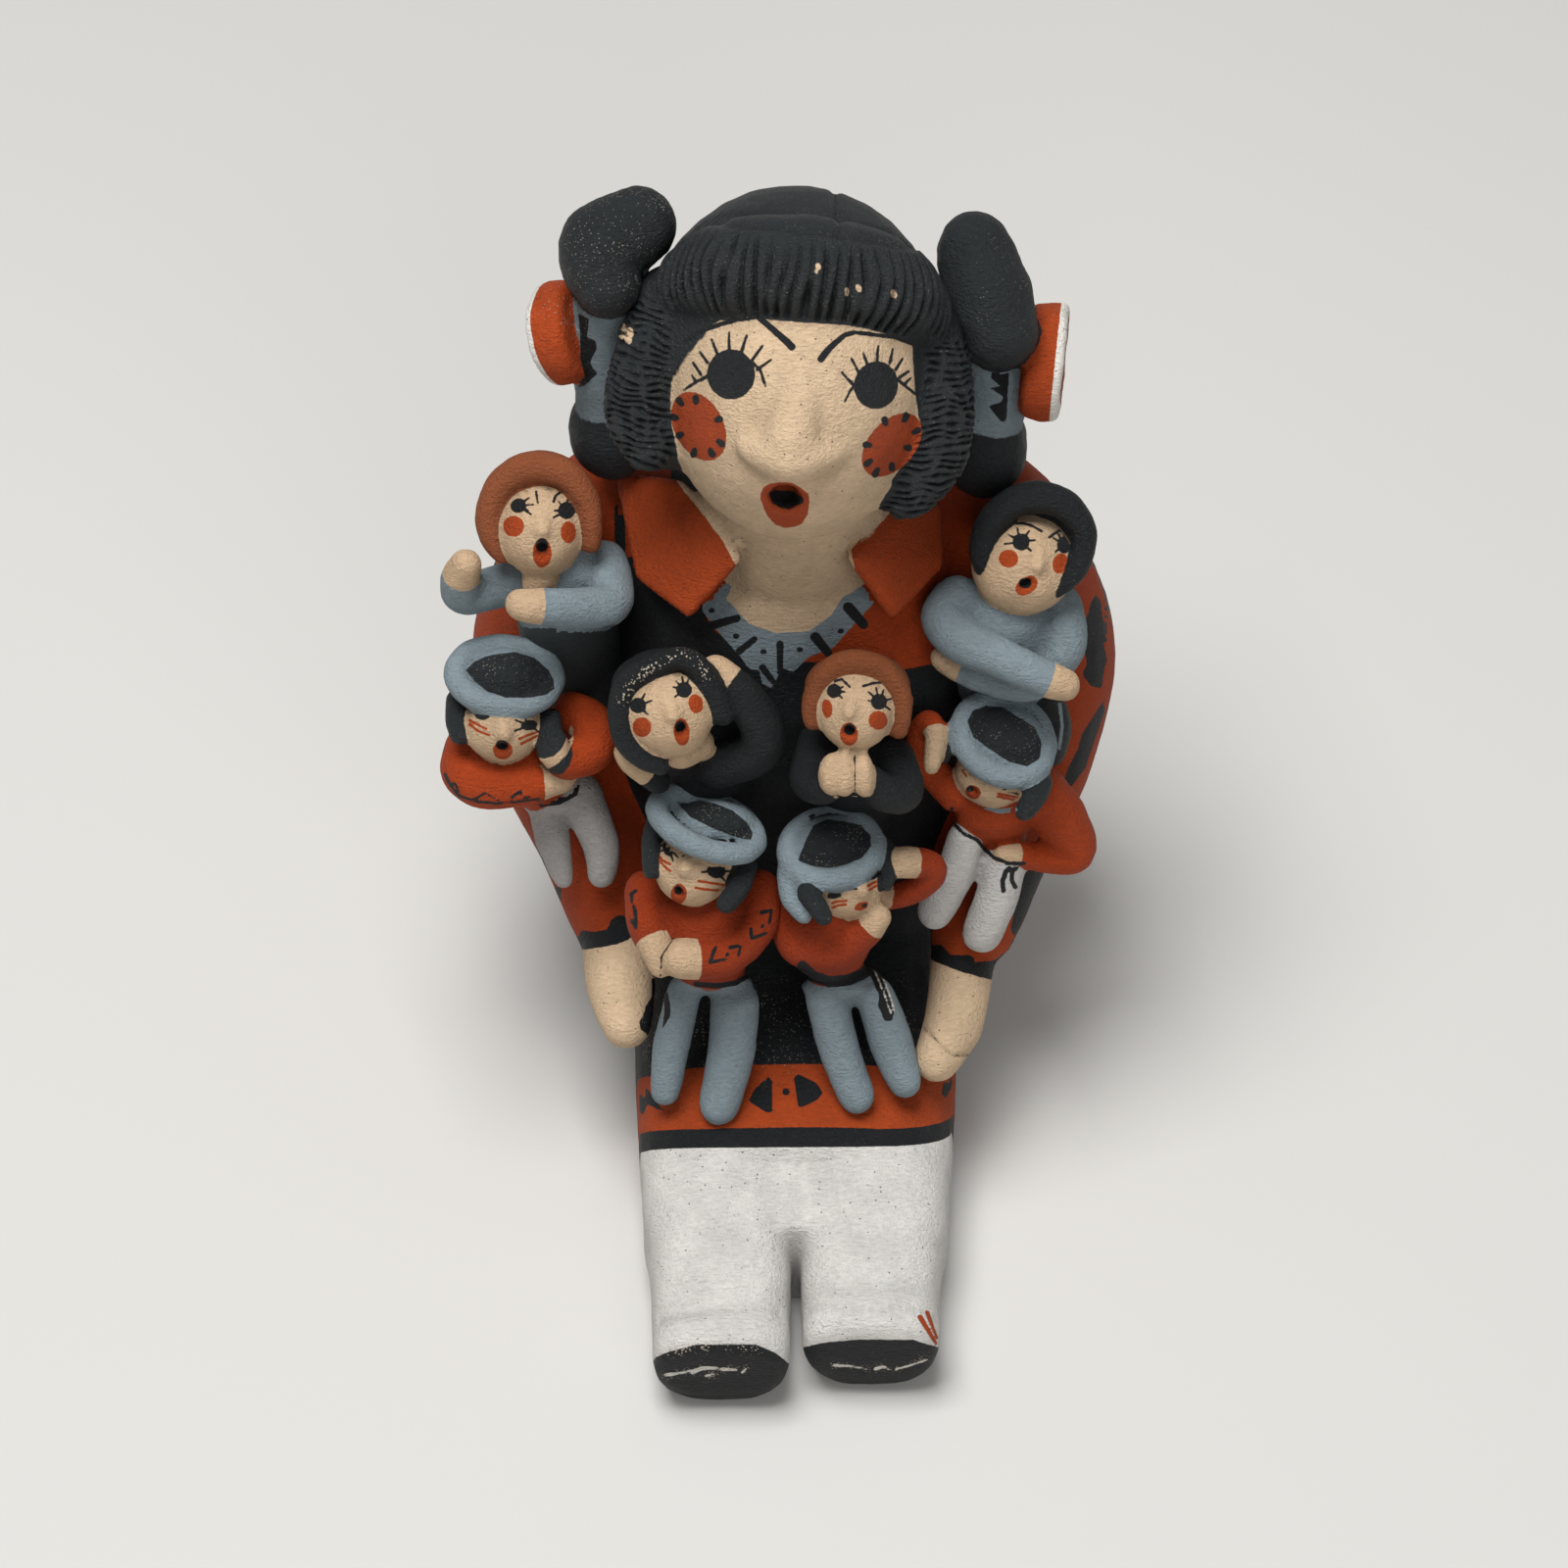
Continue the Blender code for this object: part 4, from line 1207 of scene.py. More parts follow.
def child(name, face, nose, mouth, balls, coils, base, pots, colours):
    clay, mouths = Clay(name), Clay("mouth")
    middle, radii = face
    head = Head(seen_at(*middle), turned=0, tilted=50, leaning=0)
    head.ball(clay, "face", (0, 0, 0), radii)
    bridge, tip = [head.on_ball(radii, middle[2], *pixel) for pixel in nose]
    clay.roll([bridge @ Vector((0, 0, -0.7)), tip @ Vector((0, 0, -0.1))], [1.2, 1.7], ("face", 0))
    for part, seen, size in balls:
        place = Head(seen_at(*seen), turned=0, tilted=50, leaning=0).place
        clay.ball(part, place, size)
    for knots, *parts in coils:
        path = [seen_at(*place) for *place, _radius in knots]
        clay.roll(path, [knot[-1] for knot in knots], *parts)
    (px, py), (wide, high), turn = mouth
    lips = head.on_ball(radii, middle[2], px, py) @ Matrix.Rotation(math.radians(-turn), 4, "Z")
    poke_mouth(mouths, lips, width=wide * OPENING, height=high * OPENING, depth=3.2, rise=0.7)
    skin = one_skin(clay, grain=CHILD_GRAIN, passes=4, mouths=mouths)
    hx, hy, hz = head.map(skin.points)
    skin.cut_finer((hz > 0) & (np.hypot(hx, hy) < max(radii) + 0.5))
    skin.make_uneven(0.16, spacing=4)
    coats = Coats(clay, skin)
    coats.dip(base, **pots)
    children.append((skin, coats, {"skin": SHADED_CHILD_SKIN, **colours}))
    others = [part for part in clay.parts if part != "face"]
    print(name, "has", len(skin.points), "points")
    return Brush(coats), nearest_part(clay, "face", skin.points, others) - 0.1


# %% [markdown]
# The faces are painted with a few marks each. The eyes are small round spots with lashes that start in
# their middle. The girls have red cheeks, and the boys two red stripes on each cheek. The lips are a red
# oval, and the upper part of the open mouth is painted dark as shade.

# %% Painting a small face
HAIR_LINE = 3.0


def paint_cap(brush, rim, size, crown, turn=0):
    """A boy's headband is grey, and the crown inside it black."""
    brush.disc("grey", rim, size, turn=turn)
    brush.patch("black", crown)
    brush.coats.wipe("grey", brush.to_patch(crown))
    brush.coats.rub(0.3, brush.to_patch(crown), reach=0.5)


def paint_face(brush, on_face, eyes, mouth, shaded_mouth, brows=(), cheeks=(), stripes=()):
    for centre, size, turn, tips in eyes:
        brush.disc("ink", centre, size, turn=turn, only=on_face)
        for tip in tips:
            brush.stroke("ink", [centre, tip], HAIR_LINE, HAIR_LINE * 0.7, only=on_face)
    for brow in brows:
        brush.stroke("ink", brow, HAIR_LINE, HAIR_LINE * 0.9, only=on_face)
    for centre, size, turn in cheeks:
        brush.disc("red", centre, size, turn=turn, only=on_face)
    for stripe in stripes:
        brush.stroke("red", stripe, 2.9, 2.5, only=on_face)
    # The lips are red, and the upper part of the open mouth is painted black as shade.
    for pot, (centre, size, *turn) in (("red", mouth), ("ink", shaded_mouth)):
        brush.coats.lay(pot, brush.to_disc(centre, size, *turn), only=on_face)


# %% [markdown]
# ### On the mother's arms
#
# A girl sits at the top of each arm, in a blue-grey sweater, and a boy below her on each forearm, in a red
# shirt and pale trousers.

# %% Girl on the right arm, with her right fist lifted
brush, on_face = child(
    "shoulder_girl_right",
    face=((552, 542, 50), (8.9, 9.6, 9.4)),
    nose=((552.5, 527), (553.9, 541.4)),
    mouth=((553.3, 564.4), (9.6, 14.9), 0),
    balls=[("hair", (550, 516, 44), (12.4, 10.8, 9.5))],
    coils=[
        (
            [
                (513, 568, 50, 1.7), (502, 551, 51, 2.5), (498, 526, 52, 2.8), (507, 500, 53, 3.1),
                (527, 482, 54, 3.4), (554, 476, 55, 3.4), (581, 486, 55, 3.2), (598, 509, 54, 2.8),
                (604, 533, 53, 2.3), (603, 554, 51, 2.2),
            ],
            ("hair", 0),
        ),
        (
            [
                (572, 582, 38, 10.5), (578, 610, 32, 11), (581, 641, 24, 10.8), (589, 669, 16, 10),
                (597, 692, 9, 8),
            ],
            ("shirt", 0),
            ("skirt", 1.3),
        ),
        (
            [
                (616, 576, 40, 5.2), (623, 596, 44, 4.9), (621, 617, 48, 4.6), (592, 620, 52, 4.3),
                (552, 619, 55, 3.9), (531, 617, 56, 3.4),
            ],
            ("shirt", 0),
            ("hand", 3.96),
        ),
        (
            [
                (533, 590, 40, 4.8), (506, 599, 38, 4.6), (475, 606, 40, 4.5), (470, 593, 44, 4.4),
                (475, 576, 49, 3.4),
            ],
            ("shirt", 0),
            ("hand", 3.4),
        ),
        ([(552, 587, 48, 3.6), (548, 593, 47, 3.4)], ("face", 0)),
    ],
    base=["hair"],
    pots={"black": ["skirt"], "grey": ["shirt"], "skin": ["face", "hand"]},
    colours={"body": "85492A", "black": "363C3E"},
)
paint_face(
    brush,
    on_face,
    eyes=[
        ((529, 516), (8.2, 7.3), -15, [(540, 508), (544, 515), (542, 525), (539, 521)]),
        ((578, 521), (8.7, 9), 0, [(565, 528), (566, 521), (570, 512), (580, 502), (590, 509), (595, 523)]),
    ],
    brows=[[(547, 502), (549, 513)], [(565, 512), (567, 506), (573, 501)]],
    cheeks=[((524, 537), (10.7, 10.7), 0), ((580, 543), (7.9, 11.2), 0)],
    mouth=((553.3, 564.4), (9.6, 14.9), 0),
    shaded_mouth=((553, 556), (6.5, 7)),
)
brush.patch(
    "skin",
    [
        (459, 576), (465, 562), (479, 557), (490, 565), (493, 582), (491, 595), (477, 601), (464, 599),
        (459, 589),
    ],
)
brush.patch("skin", [(533, 588), (560, 586), (560, 596), (545, 600), (535, 596)])
brush.stroke("ink", [(542, 600), (546, 599), (547, 604)], 1.6)
dark_skirt = [(520, 638), (558, 638), (598, 642), (626, 634), (642, 627), (642, 700), (520, 700)]
below_sweater = [(520, 640), (558, 640), (598, 644), (626, 637), (642, 635), (642, 700), (520, 700)]
brush.patch("black", dark_skirt)
brush.coats.wipe("grey", np.maximum(brush.to_patch(below_sweater), brush.away))

# %% Girl on the left arm, with crossed arms
brush, on_face = child(
    "shoulder_girl_left",
    face=((1044, 577, 47), (10.9, 10.3, 9.6)),
    nose=((1061.4, 562.4), (1058.4, 577.8)),
    mouth=((1047.5, 597.7), (12.1, 8.5), -36),
    balls=[("hair", (1056, 540, 38), (12.2, 10.2, 9.5))],
    coils=[
        (
            [
                (1005, 577, 51, 2.4), (1002, 561, 52, 2.9), (1010, 535, 53, 3.2), (1032, 514, 54, 3.4),
                (1060, 507, 54, 3.5), (1089, 517, 54, 3.3), (1105, 540, 53, 2.8), (1105, 564, 52, 2.6),
                (1095, 585, 52, 2.5), (1080, 600, 51, 1.9),
            ],
            ("hair", 0),
        ),
        (
            [(1026, 627, 37, 10.5), (1027, 658, 29, 11.5), (1024, 688, 18, 10.5), (1023, 712, 8, 9)],
            ("shirt", 0),
            ("skirt", 2.4),
        ),
        (
            [
                (976, 611, 40, 5.0), (964, 630, 42, 5.2), (982, 653, 45, 5.0), (1026, 674, 48, 4.3),
                (1065, 692, 48, 4.0), (1086, 699, 47, 3.5),
            ],
            ("shirt", 0),
            ("hand", 4.1),
        ),
        (
            [
                (1080, 618, 38, 5.0), (1086, 642, 40, 4.9), (1083, 667, 40, 4.5), (1050, 697, 38, 4.0),
                (996, 686, 38, 3.8), (962, 672, 37, 2.8),
            ],
            ("shirt", 0),
            ("hand", 4.4),
        ),
        ([(1060, 712, 20, 5.0), (1073, 740, 16, 4.4), (1071, 766, 10, 3.6)], ("skirt", 0)),
    ],
    base=["hair", "skirt"],
    pots={"grey": ["shirt"], "skin": ["face", "hand"]},
    colours={"body": BLACK},
)
paint_face(
    brush,
    on_face,
    eyes=[
        (
            (1042, 553),
            (8.8, 8.8),
            0,
            [(1025, 555), (1028, 545), (1038, 539), (1050, 542), (1056, 551), (1052, 562)],
        ),
        ((1086, 556), (7.3, 8.8), 0, [(1075, 549), (1080, 545), (1086, 542), (1094, 546), (1077, 563)]),
    ],
    brows=[[(1037, 534), (1045, 534), (1054, 537), (1063, 542)], [(1071, 548), (1080, 542), (1094, 538)]],
    cheeks=[((1029, 570), (10, 9.1), 0), ((1082, 575), (7.9, 10.6), 15)],
    mouth=((1047.5, 597.7), (12.7, 8.5), -36),
    shaded_mouth=((1046, 595), (6.6, 5.4)),
)
brush.stroke("grey", [(1081, 716), (1084, 740), (1081, 764)], 3.5)

# %% Boy on the right forearm, with one hand at his cheek
brush, on_face = child(
    "arm_boy_right",
    face=((513, 741, 34), (8.2, 7.8, 8.6)),
    nose=((513.4, 740.6), (513.8, 749.5)),
    mouth=((513, 765.5), (10, 9.4), 0),
    balls=[("hair", (516, 692, 32), (9.6, 6.6, 8.2)), ("leg", (567, 818, 13), (7.6, 3.4, 6))],
    coils=[
        headband((515, 690, 36), 10.3, 6.3, 5, 2.6),
        ([(466, 713, 33, 2.2), (465, 733, 35, 2.4), (469, 750, 36, 2.2)], ("hair", 0)),
        ([(562, 733, 35, 2.3), (563, 754, 37, 2.6), (558, 768, 37, 2.3)], ("hair", 0)),
        ([(519, 762, 24, 10.5), (533, 783, 19, 9), (552, 795, 15, 6.5)], ("shirt", 0)),
        (
            [
                (478, 762, 24, 5.0), (473, 787, 28, 4.9), (495, 803, 31, 4.8), (536, 801, 31, 4.4),
                (568, 798, 30, 2.9), (580, 796, 29, 2.0),
            ],
            ("shirt", 0),
            ("hand", 3.55),
        ),
        (
            [
                (583, 727, 24, 4.6), (603, 739, 27, 5.0), (605, 762, 30, 5.0), (586, 774, 33, 4.4),
                (568, 771, 36, 3.4), (568, 757, 38, 2.6),
            ],
            ("shirt", 0),
            ("hair", 3.7),
        ),
        ([(555, 815, 14, 3.8), (564, 856, 10, 3.9), (575, 897, 6, 2.2)], ("leg", 0)),
        ([(592, 812, 15, 5.0), (613, 862, 11, 4.0), (614, 891, 8, 3.2)], ("leg", 0)),
    ],
    base=["shirt"],
    pots={"black": ["hair"], "white": ["leg"], "grey": ["band"], "skin": ["face", "hand"]},
    colours={"black": WORN_BLACK, "white": "A3A09D"},
)
crown = [
    (475, 684), (484, 675), (498, 669), (525, 665), (545, 671), (560, 684), (565, 695), (566, 703),
    (557, 709), (541, 712), (516, 712), (498, 706), (484, 695),
]
paint_cap(brush, (515, 690), (51.3, 31.5), crown)
paint_face(
    brush,
    on_face,
    eyes=[
        ((492, 730), (7.6, 4.5), 10, [(481, 727)]),
        ((540, 740), (8.7, 5.3), -5, [(526, 735), (525, 746), (535, 732), (550, 747)]),
    ],
    stripes=[
        [(479, 735), (487, 739), (496, 744)], [(479, 739), (488, 746), (499, 750)],
        [(530, 754), (539, 750), (548, 747)], [(532, 759), (540, 755), (548, 751)],
    ],
    mouth=((513, 765.5), (10, 9.4), 0),
    shaded_mouth=((512, 760), (6.2, 4.9)),
)
brush.patch(
    "skin",
    [
        (582, 740), (585, 743), (585, 756), (579, 769), (570, 779), (558, 785), (548, 781), (548, 773),
        (555, 774), (565, 772), (573, 764), (577, 757), (580, 748),
    ],
)
brush.patch(
    "ink",
    [(547, 817), (568, 815), (582, 807), (588, 795), (593, 796), (589, 812), (572, 821), (551, 824)],
)
brush.stroke(
    "ink", [(454, 790), (458, 799), (468, 812), (487, 818), (507, 820), (528, 818), (551, 815)], 3.4, 2.4,
)
brush.stroke("ink", [(484, 816), (495, 809), (509, 817)], 3.0, 2.4)
brush.stroke("ink", [(458, 800), (464, 799), (468, 807)], 2.8, 2.2)
brush.stroke("ink", [(522, 814), (531, 807), (534, 813), (542, 814)], 3.0, 2.4)
brush.stroke("ink", [(456, 752), (452, 766)], 1.6)

# %% Boy on the left forearm, one hand raised and the other on his hip
brush, on_face = child(
    "arm_boy_left",
    face=((1014, 785, 25), (8.2, 8.0, 8.4)),
    nose=((1010.6, 773.8), (1001.9, 790)),
    mouth=((992.9, 808.4), (7.8, 6.8), 25),
    balls=[("hair", (1025, 754, 28), (8.8, 7.6, 7.8))],
    coils=[
        headband((1024, 754, 31), 9.3, 7.4, 32, 2.6),
        ([(968, 747, 30, 1.8), (964, 764, 32, 1.9), (963, 774, 31, 1.4)], ("hair", 0)),
        ([(1064, 799, 30, 2.4), (1055, 814, 32, 2.6), (1045, 828, 33, 2.2)], ("hair", 0)),
        ([(1015, 814, 15, 9.5), (1020, 833, 11, 8.2), (1022, 850, 9, 5.5)], ("shirt", 0)),
        ([(973, 811, 20, 3.6), (943, 774, 24, 3.6), (942, 746, 28, 3.4)], ("shirt", 0)),
        (
            [
                (943, 747, 28, 3.3), (947, 738, 31, 2.9), (953, 742, 33, 2.4), (954, 758, 34, 2.2),
                (951, 782, 34, 1.9),
            ],
            ("shirt", 0),
            ("hand", 2.1),
        ),
        (
            [
                (1058, 805, 20, 6.0), (1082, 836, 15, 6.0), (1096, 868, 11, 4.8), (1067, 874, 12, 3.6),
                (1039, 872, 15, 2.5), (1022, 872, 16, 1.8),
            ],
            ("shirt", 0),
            ("hand", 3.95),
        ),
        ([(986, 855, 14, 4.0), (974, 892, 10, 4.3), (954, 930, 5, 4.0)], ("leg", 0)),
        ([(1026, 880, 12, 4.6), (1016, 918, 8, 4.7), (1002, 952, 4, 4.4)], ("leg", 0)),
    ],
    base=["shirt"],
    pots={"black": ["hair"], "white": ["leg"], "grey": ["band"], "skin": ["face", "hand"]},
    colours={"black": WORN_BLACK, "white": "C0BDB9"},
)
crown = [
    (987, 736), (993, 725), (1006, 720), (1023, 722), (1040, 732), (1056, 742), (1063, 758), (1061, 774),
    (1048, 782), (1029, 777), (1009, 764), (993, 752),
]
paint_cap(brush, (1024, 754), (46.2, 37.5), crown, turn=32)
paint_face(
    brush,
    on_face,
    eyes=[((1031, 807), (8.2, 2.5), 8, [(1039, 811)]), ((986, 771), (2.8, 4.3), 0, [])],
    stripes=[
        [(977, 776), (981, 783), (986, 792)], [(978, 773), (983, 780), (988, 787)],
        [(1019, 810), (1030, 812), (1039, 814)], [(1018, 813), (1029, 815), (1038, 817)],
    ],
    mouth=((992.9, 808.4), (8.2, 6.8), 25),
    shaded_mouth=((990, 805), (3.9, 3.2)),
)
brush.stroke("grey", [(1005, 823), (1020, 828), (1036, 826)], 5)
brush.stroke(
    "ink",
    [(971, 825), (974, 841), (982, 850), (997, 857), (1006, 868), (1014, 875), (1028, 881), (1045, 881)],
    4.0,
)
brush.stroke("ink", [(1024, 909), (1023, 899), (1026, 890), (1030, 886)], 5.0)
brush.stroke("ink", [(1036, 905), (1032, 898), (1033, 889), (1037, 886)], 4.6)

# %% [markdown]
# ### On the chest
#
# Two girls in black dresses lean against the mother's chest. One holds a hand behind her ear, and the other
# presses her hands together. The crown of the first one's hair is rubbed, so cream specks lie along its
# rim.

# %% Girls on the chest
brush, on_face = child(
    "chest_girl_right",
    face=((684, 728, 54), (9.1, 9.0, 9.0)),
    nose=((681.4, 717.5), (687.5, 731.1)),
    mouth=((695.6, 747), (8.3, 14), -4),
    balls=[("hair", (681, 702, 48), (11.8, 8.4, 9))],
    coils=[
        (
            [
                (675, 783, 54, 1.9), (653, 774, 55, 2.1), (636, 755, 56, 2.2), (631, 726, 57, 2.3),
                (636, 702, 58, 2.4), (657, 684, 59, 2.5), (688, 672, 59, 2.5), (709, 677, 59, 2.5),
                (723, 696, 58, 2.5), (732, 714, 57, 2.4), (738, 728, 56, 2.7),
            ],
            ("hair", 0),
        ),
        ([(694, 767, 49, 3.8), (712, 759, 48, 3.6)], ("face", 0)),
        ([(723, 770, 34, 10), (724, 786, 24, 9.6), (725, 805, 12, 8.5), (726, 820, 4, 7.5)], ("dress", 0)),
        (
            [
                (731, 781, 42, 5.0), (771, 768, 46, 5.0), (778, 744, 50, 4.8), (759, 712, 53, 4.3),
                (730, 685, 54, 3.6),
            ],
            ("dress", 0),
            ("hand", 3.42),
        ),
        (
            [(672, 797, 44, 2.8), (656, 788, 47, 2.6), (643, 777, 49, 2.6), (636, 768, 50, 2.2)],
            ("dress", 0),
            ("hand", 0.8),
        ),
    ],
    base=["hair", "dress"],
    pots={"skin": ["face", "hand"]},
    colours={"body": BLACK},
)
paint_face(
    brush,
    on_face,
    eyes=[
        ((651, 720), (8.3, 7.9), 0, [(658, 708), (665, 715), (661, 729)]),
        ((698, 704), (8.1, 8.1), 0, [(687, 701), (690, 695), (696, 690), (703, 692), (689, 711)]),
    ],
    cheeks=[((655, 742), (9.6, 10.1), 0), ((710, 718), (7.4, 9.8), -12)],
    mouth=((695.6, 747), (8.3, 14), -4),
    shaded_mouth=((694, 741), (5.3, 5.7)),
)
rubbed = [(635, 714), (644, 700), (663, 682), (681, 673), (694, 665), (709, 672), (722, 689)]
brush.coats.rub(1.0, brush.to_stroke(rubbed, 3), reach=1.6)
brush, on_face = child(
    "chest_girl_left",
    face=((873, 726, 55), (7.9, 8.2, 8.4)),
    nose=((868.7, 712.7), (866.8, 727)),
    mouth=((866.3, 749.1), (9.3, 12), -4),
    balls=[
        ("hair", (875, 702, 49), (11.2, 7.9, 8.6)), ("hand", (850, 789, 56), (3.0, 4.5, 3.3)),
        ("hand", (862, 790, 56), (2.3, 4.9, 3.4)), ("hand", (882, 791, 56), (2.2, 4.8, 3.3)),
    ],
    coils=[
        (
            [
                (829, 736, 54, 2.1), (828, 719, 55, 2.2), (836, 696, 56, 2.5), (855, 679, 57, 2.7),
                (878, 675, 58, 2.7), (903, 685, 57, 2.6), (919, 707, 56, 2.4), (920, 728, 55, 2.3),
                (917, 744, 54, 2.2),
            ],
            ("hair", 0),
        ),
        ([(873, 774, 35, 10), (873, 793, 24, 9.8), (873, 812, 12, 9), (873, 831, 4, 8)], ("dress", 0)),
        (
            [(835, 759, 42, 4.5), (827, 793, 46, 4.5), (839, 801, 50, 4.2), (849, 795, 53, 3.6)],
            ("dress", 0),
        ),
        (
            [(911, 774, 42, 4.8), (921, 806, 46, 4.6), (902, 808, 50, 4.2), (887, 795, 53, 3.2)],
            ("dress", 0),
        ),
    ],
    base=["hair"],
    pots={"black": ["dress"], "skin": ["face", "hand"]},
    colours={"body": HAIR_BROWN},
)
paint_face(
    brush,
    on_face,
    eyes=[
        ((851, 705), (7.4, 7.4), 0, [(860, 701), (859, 712), (862, 706)]),
        (
            (897, 716),
            (8.4, 8.1),
            0,
            [(886, 706), (894, 702), (902, 704), (910, 713), (908, 724), (886, 715)],
        ),
    ],
    brows=[[(852, 695), (859, 693), (867, 701)], [(881, 700), (892, 697), (906, 696)]],
    cheeks=[((844, 723), (5.3, 9.6), -8), ((896, 735), (9.6, 9.6), 0)],
    mouth=((866.3, 749.1), (9.3, 12), -4),
    shaded_mouth=((867, 744), (5.7, 6)),
)
hands = [
    (836, 783), (840, 774), (849, 769), (860, 767), (872, 768), (883, 770), (892, 780), (889, 795),
    (883, 814), (872, 813), (866, 811), (853, 815), (842, 808), (838, 795),
]
brush.patch("skin", hands)
brush.stroke("ink", [(872, 771), (872, 783), (872, 798), (872, 810)], 1.8)

# %% [markdown]
# ### On the lap
#
# Two boys in red shirts and blue-grey trousers sit at the front, with their legs out along the lap. One
# clasps his hands, and the other holds one hand to his hair and one to his mouth.

# %% Boys on the lap
brush, on_face = child(
    "lap_boy_right",
    face=((707, 884, 34), (8.3, 8.4, 8.4)),
    nose=((701.7, 875.4), (698.9, 887.9)),
    mouth=((692.6, 912.3), (7.8, 10.3), 5),
    balls=[("hair", (726, 841, 36.5), (9.6, 5.4, 8)), ("leg", (726, 1003, 10), (9.0, 2.6, 6.5))],
    coils=[
        headband((721, 841, 40), 11.0, 4.9, 22, 2.5),
        ([(667, 836, 36, 1.7), (663, 862, 38, 1.9), (664, 889, 38, 1.8)], ("hair", 0)),
        ([(762, 884, 36, 2.5), (753, 907, 39, 2.5), (741, 922, 40, 2.3)], ("hair", 0)),
        ([(719, 942, 21, 11.5), (724, 964, 15, 9.5), (727, 978, 11, 7.5)], ("shirt", 0)),
        (
            [(658, 909, 24, 4.4), (659, 942, 27, 4.1), (668, 966, 29, 3.5), (674, 987, 30, 2.4)],
            ("shirt", 0),
            ("hand", 1.6),
        ),
        (
            [
                (776, 909, 23, 4.6), (771, 944, 26, 4.6), (743, 974, 29, 4.3), (711, 979, 31, 4.3),
                (695, 979, 32, 4.3),
            ],
            ("shirt", 0),
            ("hand", 2.95),
        ),
        ([(697, 1016, 10, 3.8), (685, 1067, 6, 4.1), (679, 1113, 4, 3.3)], ("leg", 0)),
        ([(750, 1024, 10, 5.4), (746, 1075, 6, 5.2), (734, 1127, 5, 4.5)], ("leg", 0)),
    ],
    base=["shirt"],
    pots={"black": ["hair"], "grey": ["band", "leg"], "skin": ["face", "hand"]},
    colours={"body": WORN_RED, "black": WORN_BLACK},
)
crown = [
    (690, 818), (702, 820), (713, 816), (730, 820), (748, 827), (762, 839), (768, 849), (767, 857),
    (757, 856), (744, 852), (725, 844), (705, 834), (696, 825),
]
paint_cap(brush, (721, 839), (60.7, 34.2), crown, turn=22)
paint_face(
    brush,
    on_face,
    eyes=[
        (
            (682, 865),
            (5.9, 8.6),
            -10,
            [
                (675, 854), (680, 848), (688, 857), (691, 867), (692, 875), (687, 879), (672, 862),
                (674, 869),
            ],
        ),
        (
            (731, 889),
            (9.6, 7.2),
            5,
            [(721, 876), (733, 876), (742, 882), (747, 889), (740, 899), (716, 890)],
        ),
    ],
    brows=[[(698, 864), (697, 873)], [(713, 875), (717, 872), (724, 872)]],
    stripes=[
        [(670, 870), (676, 878), (684, 882)], [(669, 874), (677, 883), (684, 889)],
        [(713, 899), (725, 901), (740, 903)], [(710, 906), (723, 908), (738, 909)],
    ],
    mouth=((692.6, 912.3), (8.1, 10.6), 5),
    shaded_mouth=((692, 908), (4, 4.7)),
)
hem = [(710, 1004), (731, 1006), (751, 1003), (767, 993), (775, 982)]
brush.coats.lay("ink", brush.to_stroke(hem, 5.5))
brush.patch(
    "ink",
    [
        (675, 1003), (681, 1012), (684, 1025), (684, 1037), (675, 1052), (677, 1040), (678, 1026),
        (676, 1015),
    ],
)
sleeve_marks = [
    [(730, 967), (724, 982), (740, 979)], [(744, 967), (756, 965), (753, 976)],
    [(777, 931), (787, 929), (785, 942)], [(766, 948), (767, 958), (782, 952)],
    [(649, 909), (644, 912), (645, 921)], [(648, 929), (649, 947), (644, 939)],
]
for line in sleeve_marks:
    brush.stroke("ink", line, 4.2, 3.0)
for spot in ((742, 974), (778, 945), (647, 926)):
    brush.disc("ink", spot, (2.2, 2.2))
brush.stroke("ink", [(687, 958), (675, 976), (674, 996)], 1.7)
brush, on_face = child(
    "lap_boy_left",
    face=((867, 903, 29), (7.4, 7.0, 7.6)),
    nose=((878, 900), (880.4, 909.2)),
    mouth=((879, 924.8), (7.2, 4), -25),
    balls=[("hair", (850, 862, 30), (8.6, 6.8, 7)), ("leg", (857, 1007, 9), (8.4, 3.0, 6))],
    coils=[
        headband((848, 866, 33), 9.0, 6.6, -8, 2.6),
        ([(804, 892, 33, 2.6), (808, 916, 34, 2.6), (820, 934, 35, 2.0)], ("band", 0)),
        ([(824, 911, 38, 2.0), (833, 924, 39, 2.3), (841, 936, 39, 2.0)], ("hair", 0)),
        ([(905, 862, 32, 1.5), (908, 884, 34, 1.7), (904, 904, 34, 1.5)], ("hair", 0)),
        ([(843, 945, 19, 11), (847, 964, 14, 9.0), (850, 975, 11, 6.8)], ("shirt", 0)),
        (
            [
                (807, 935, 21, 4.6), (816, 964, 23, 4.6), (853, 968, 25, 4.4), (882, 951, 28, 3.6),
                (897, 936, 30, 2.8),
            ],
            ("shirt", 0),
            ("hand", 3.25),
        ),
        (
            [
                (902, 916, 24, 2.8), (928, 910, 26, 3.0), (950, 894, 29, 3.2), (947, 882, 31, 3.2),
                (923, 880, 33, 3.6),
            ],
            ("shirt", 0),
            ("hand", 3.5),
        ),
        ([(843, 1016, 10, 4.6), (856, 1070, 6, 4.5), (874, 1118, 5, 4.0)], ("leg", 0)),
        ([(893, 1016, 10, 4.2), (909, 1062, 6, 4.9), (923, 1103, 5, 3.8)], ("leg", 0)),
        ([(857, 1006, 9, 4.2), (882, 1006, 9, 4.2)], ("leg", 0)),
    ],
    base=["shirt"],
    pots={"black": ["hair"], "grey": ["band", "leg"], "skin": ["face", "hand"]},
    colours={"body": WORN_RED, "black": WORN_BLACK},
)
crown = [
    (814, 878), (822, 858), (830, 842), (844, 836), (860, 838), (878, 842), (888, 852), (889, 863),
    (880, 875), (864, 882), (846, 886), (830, 884),
]
paint_cap(brush, (848, 866), (45, 33.6), crown, turn=-8)
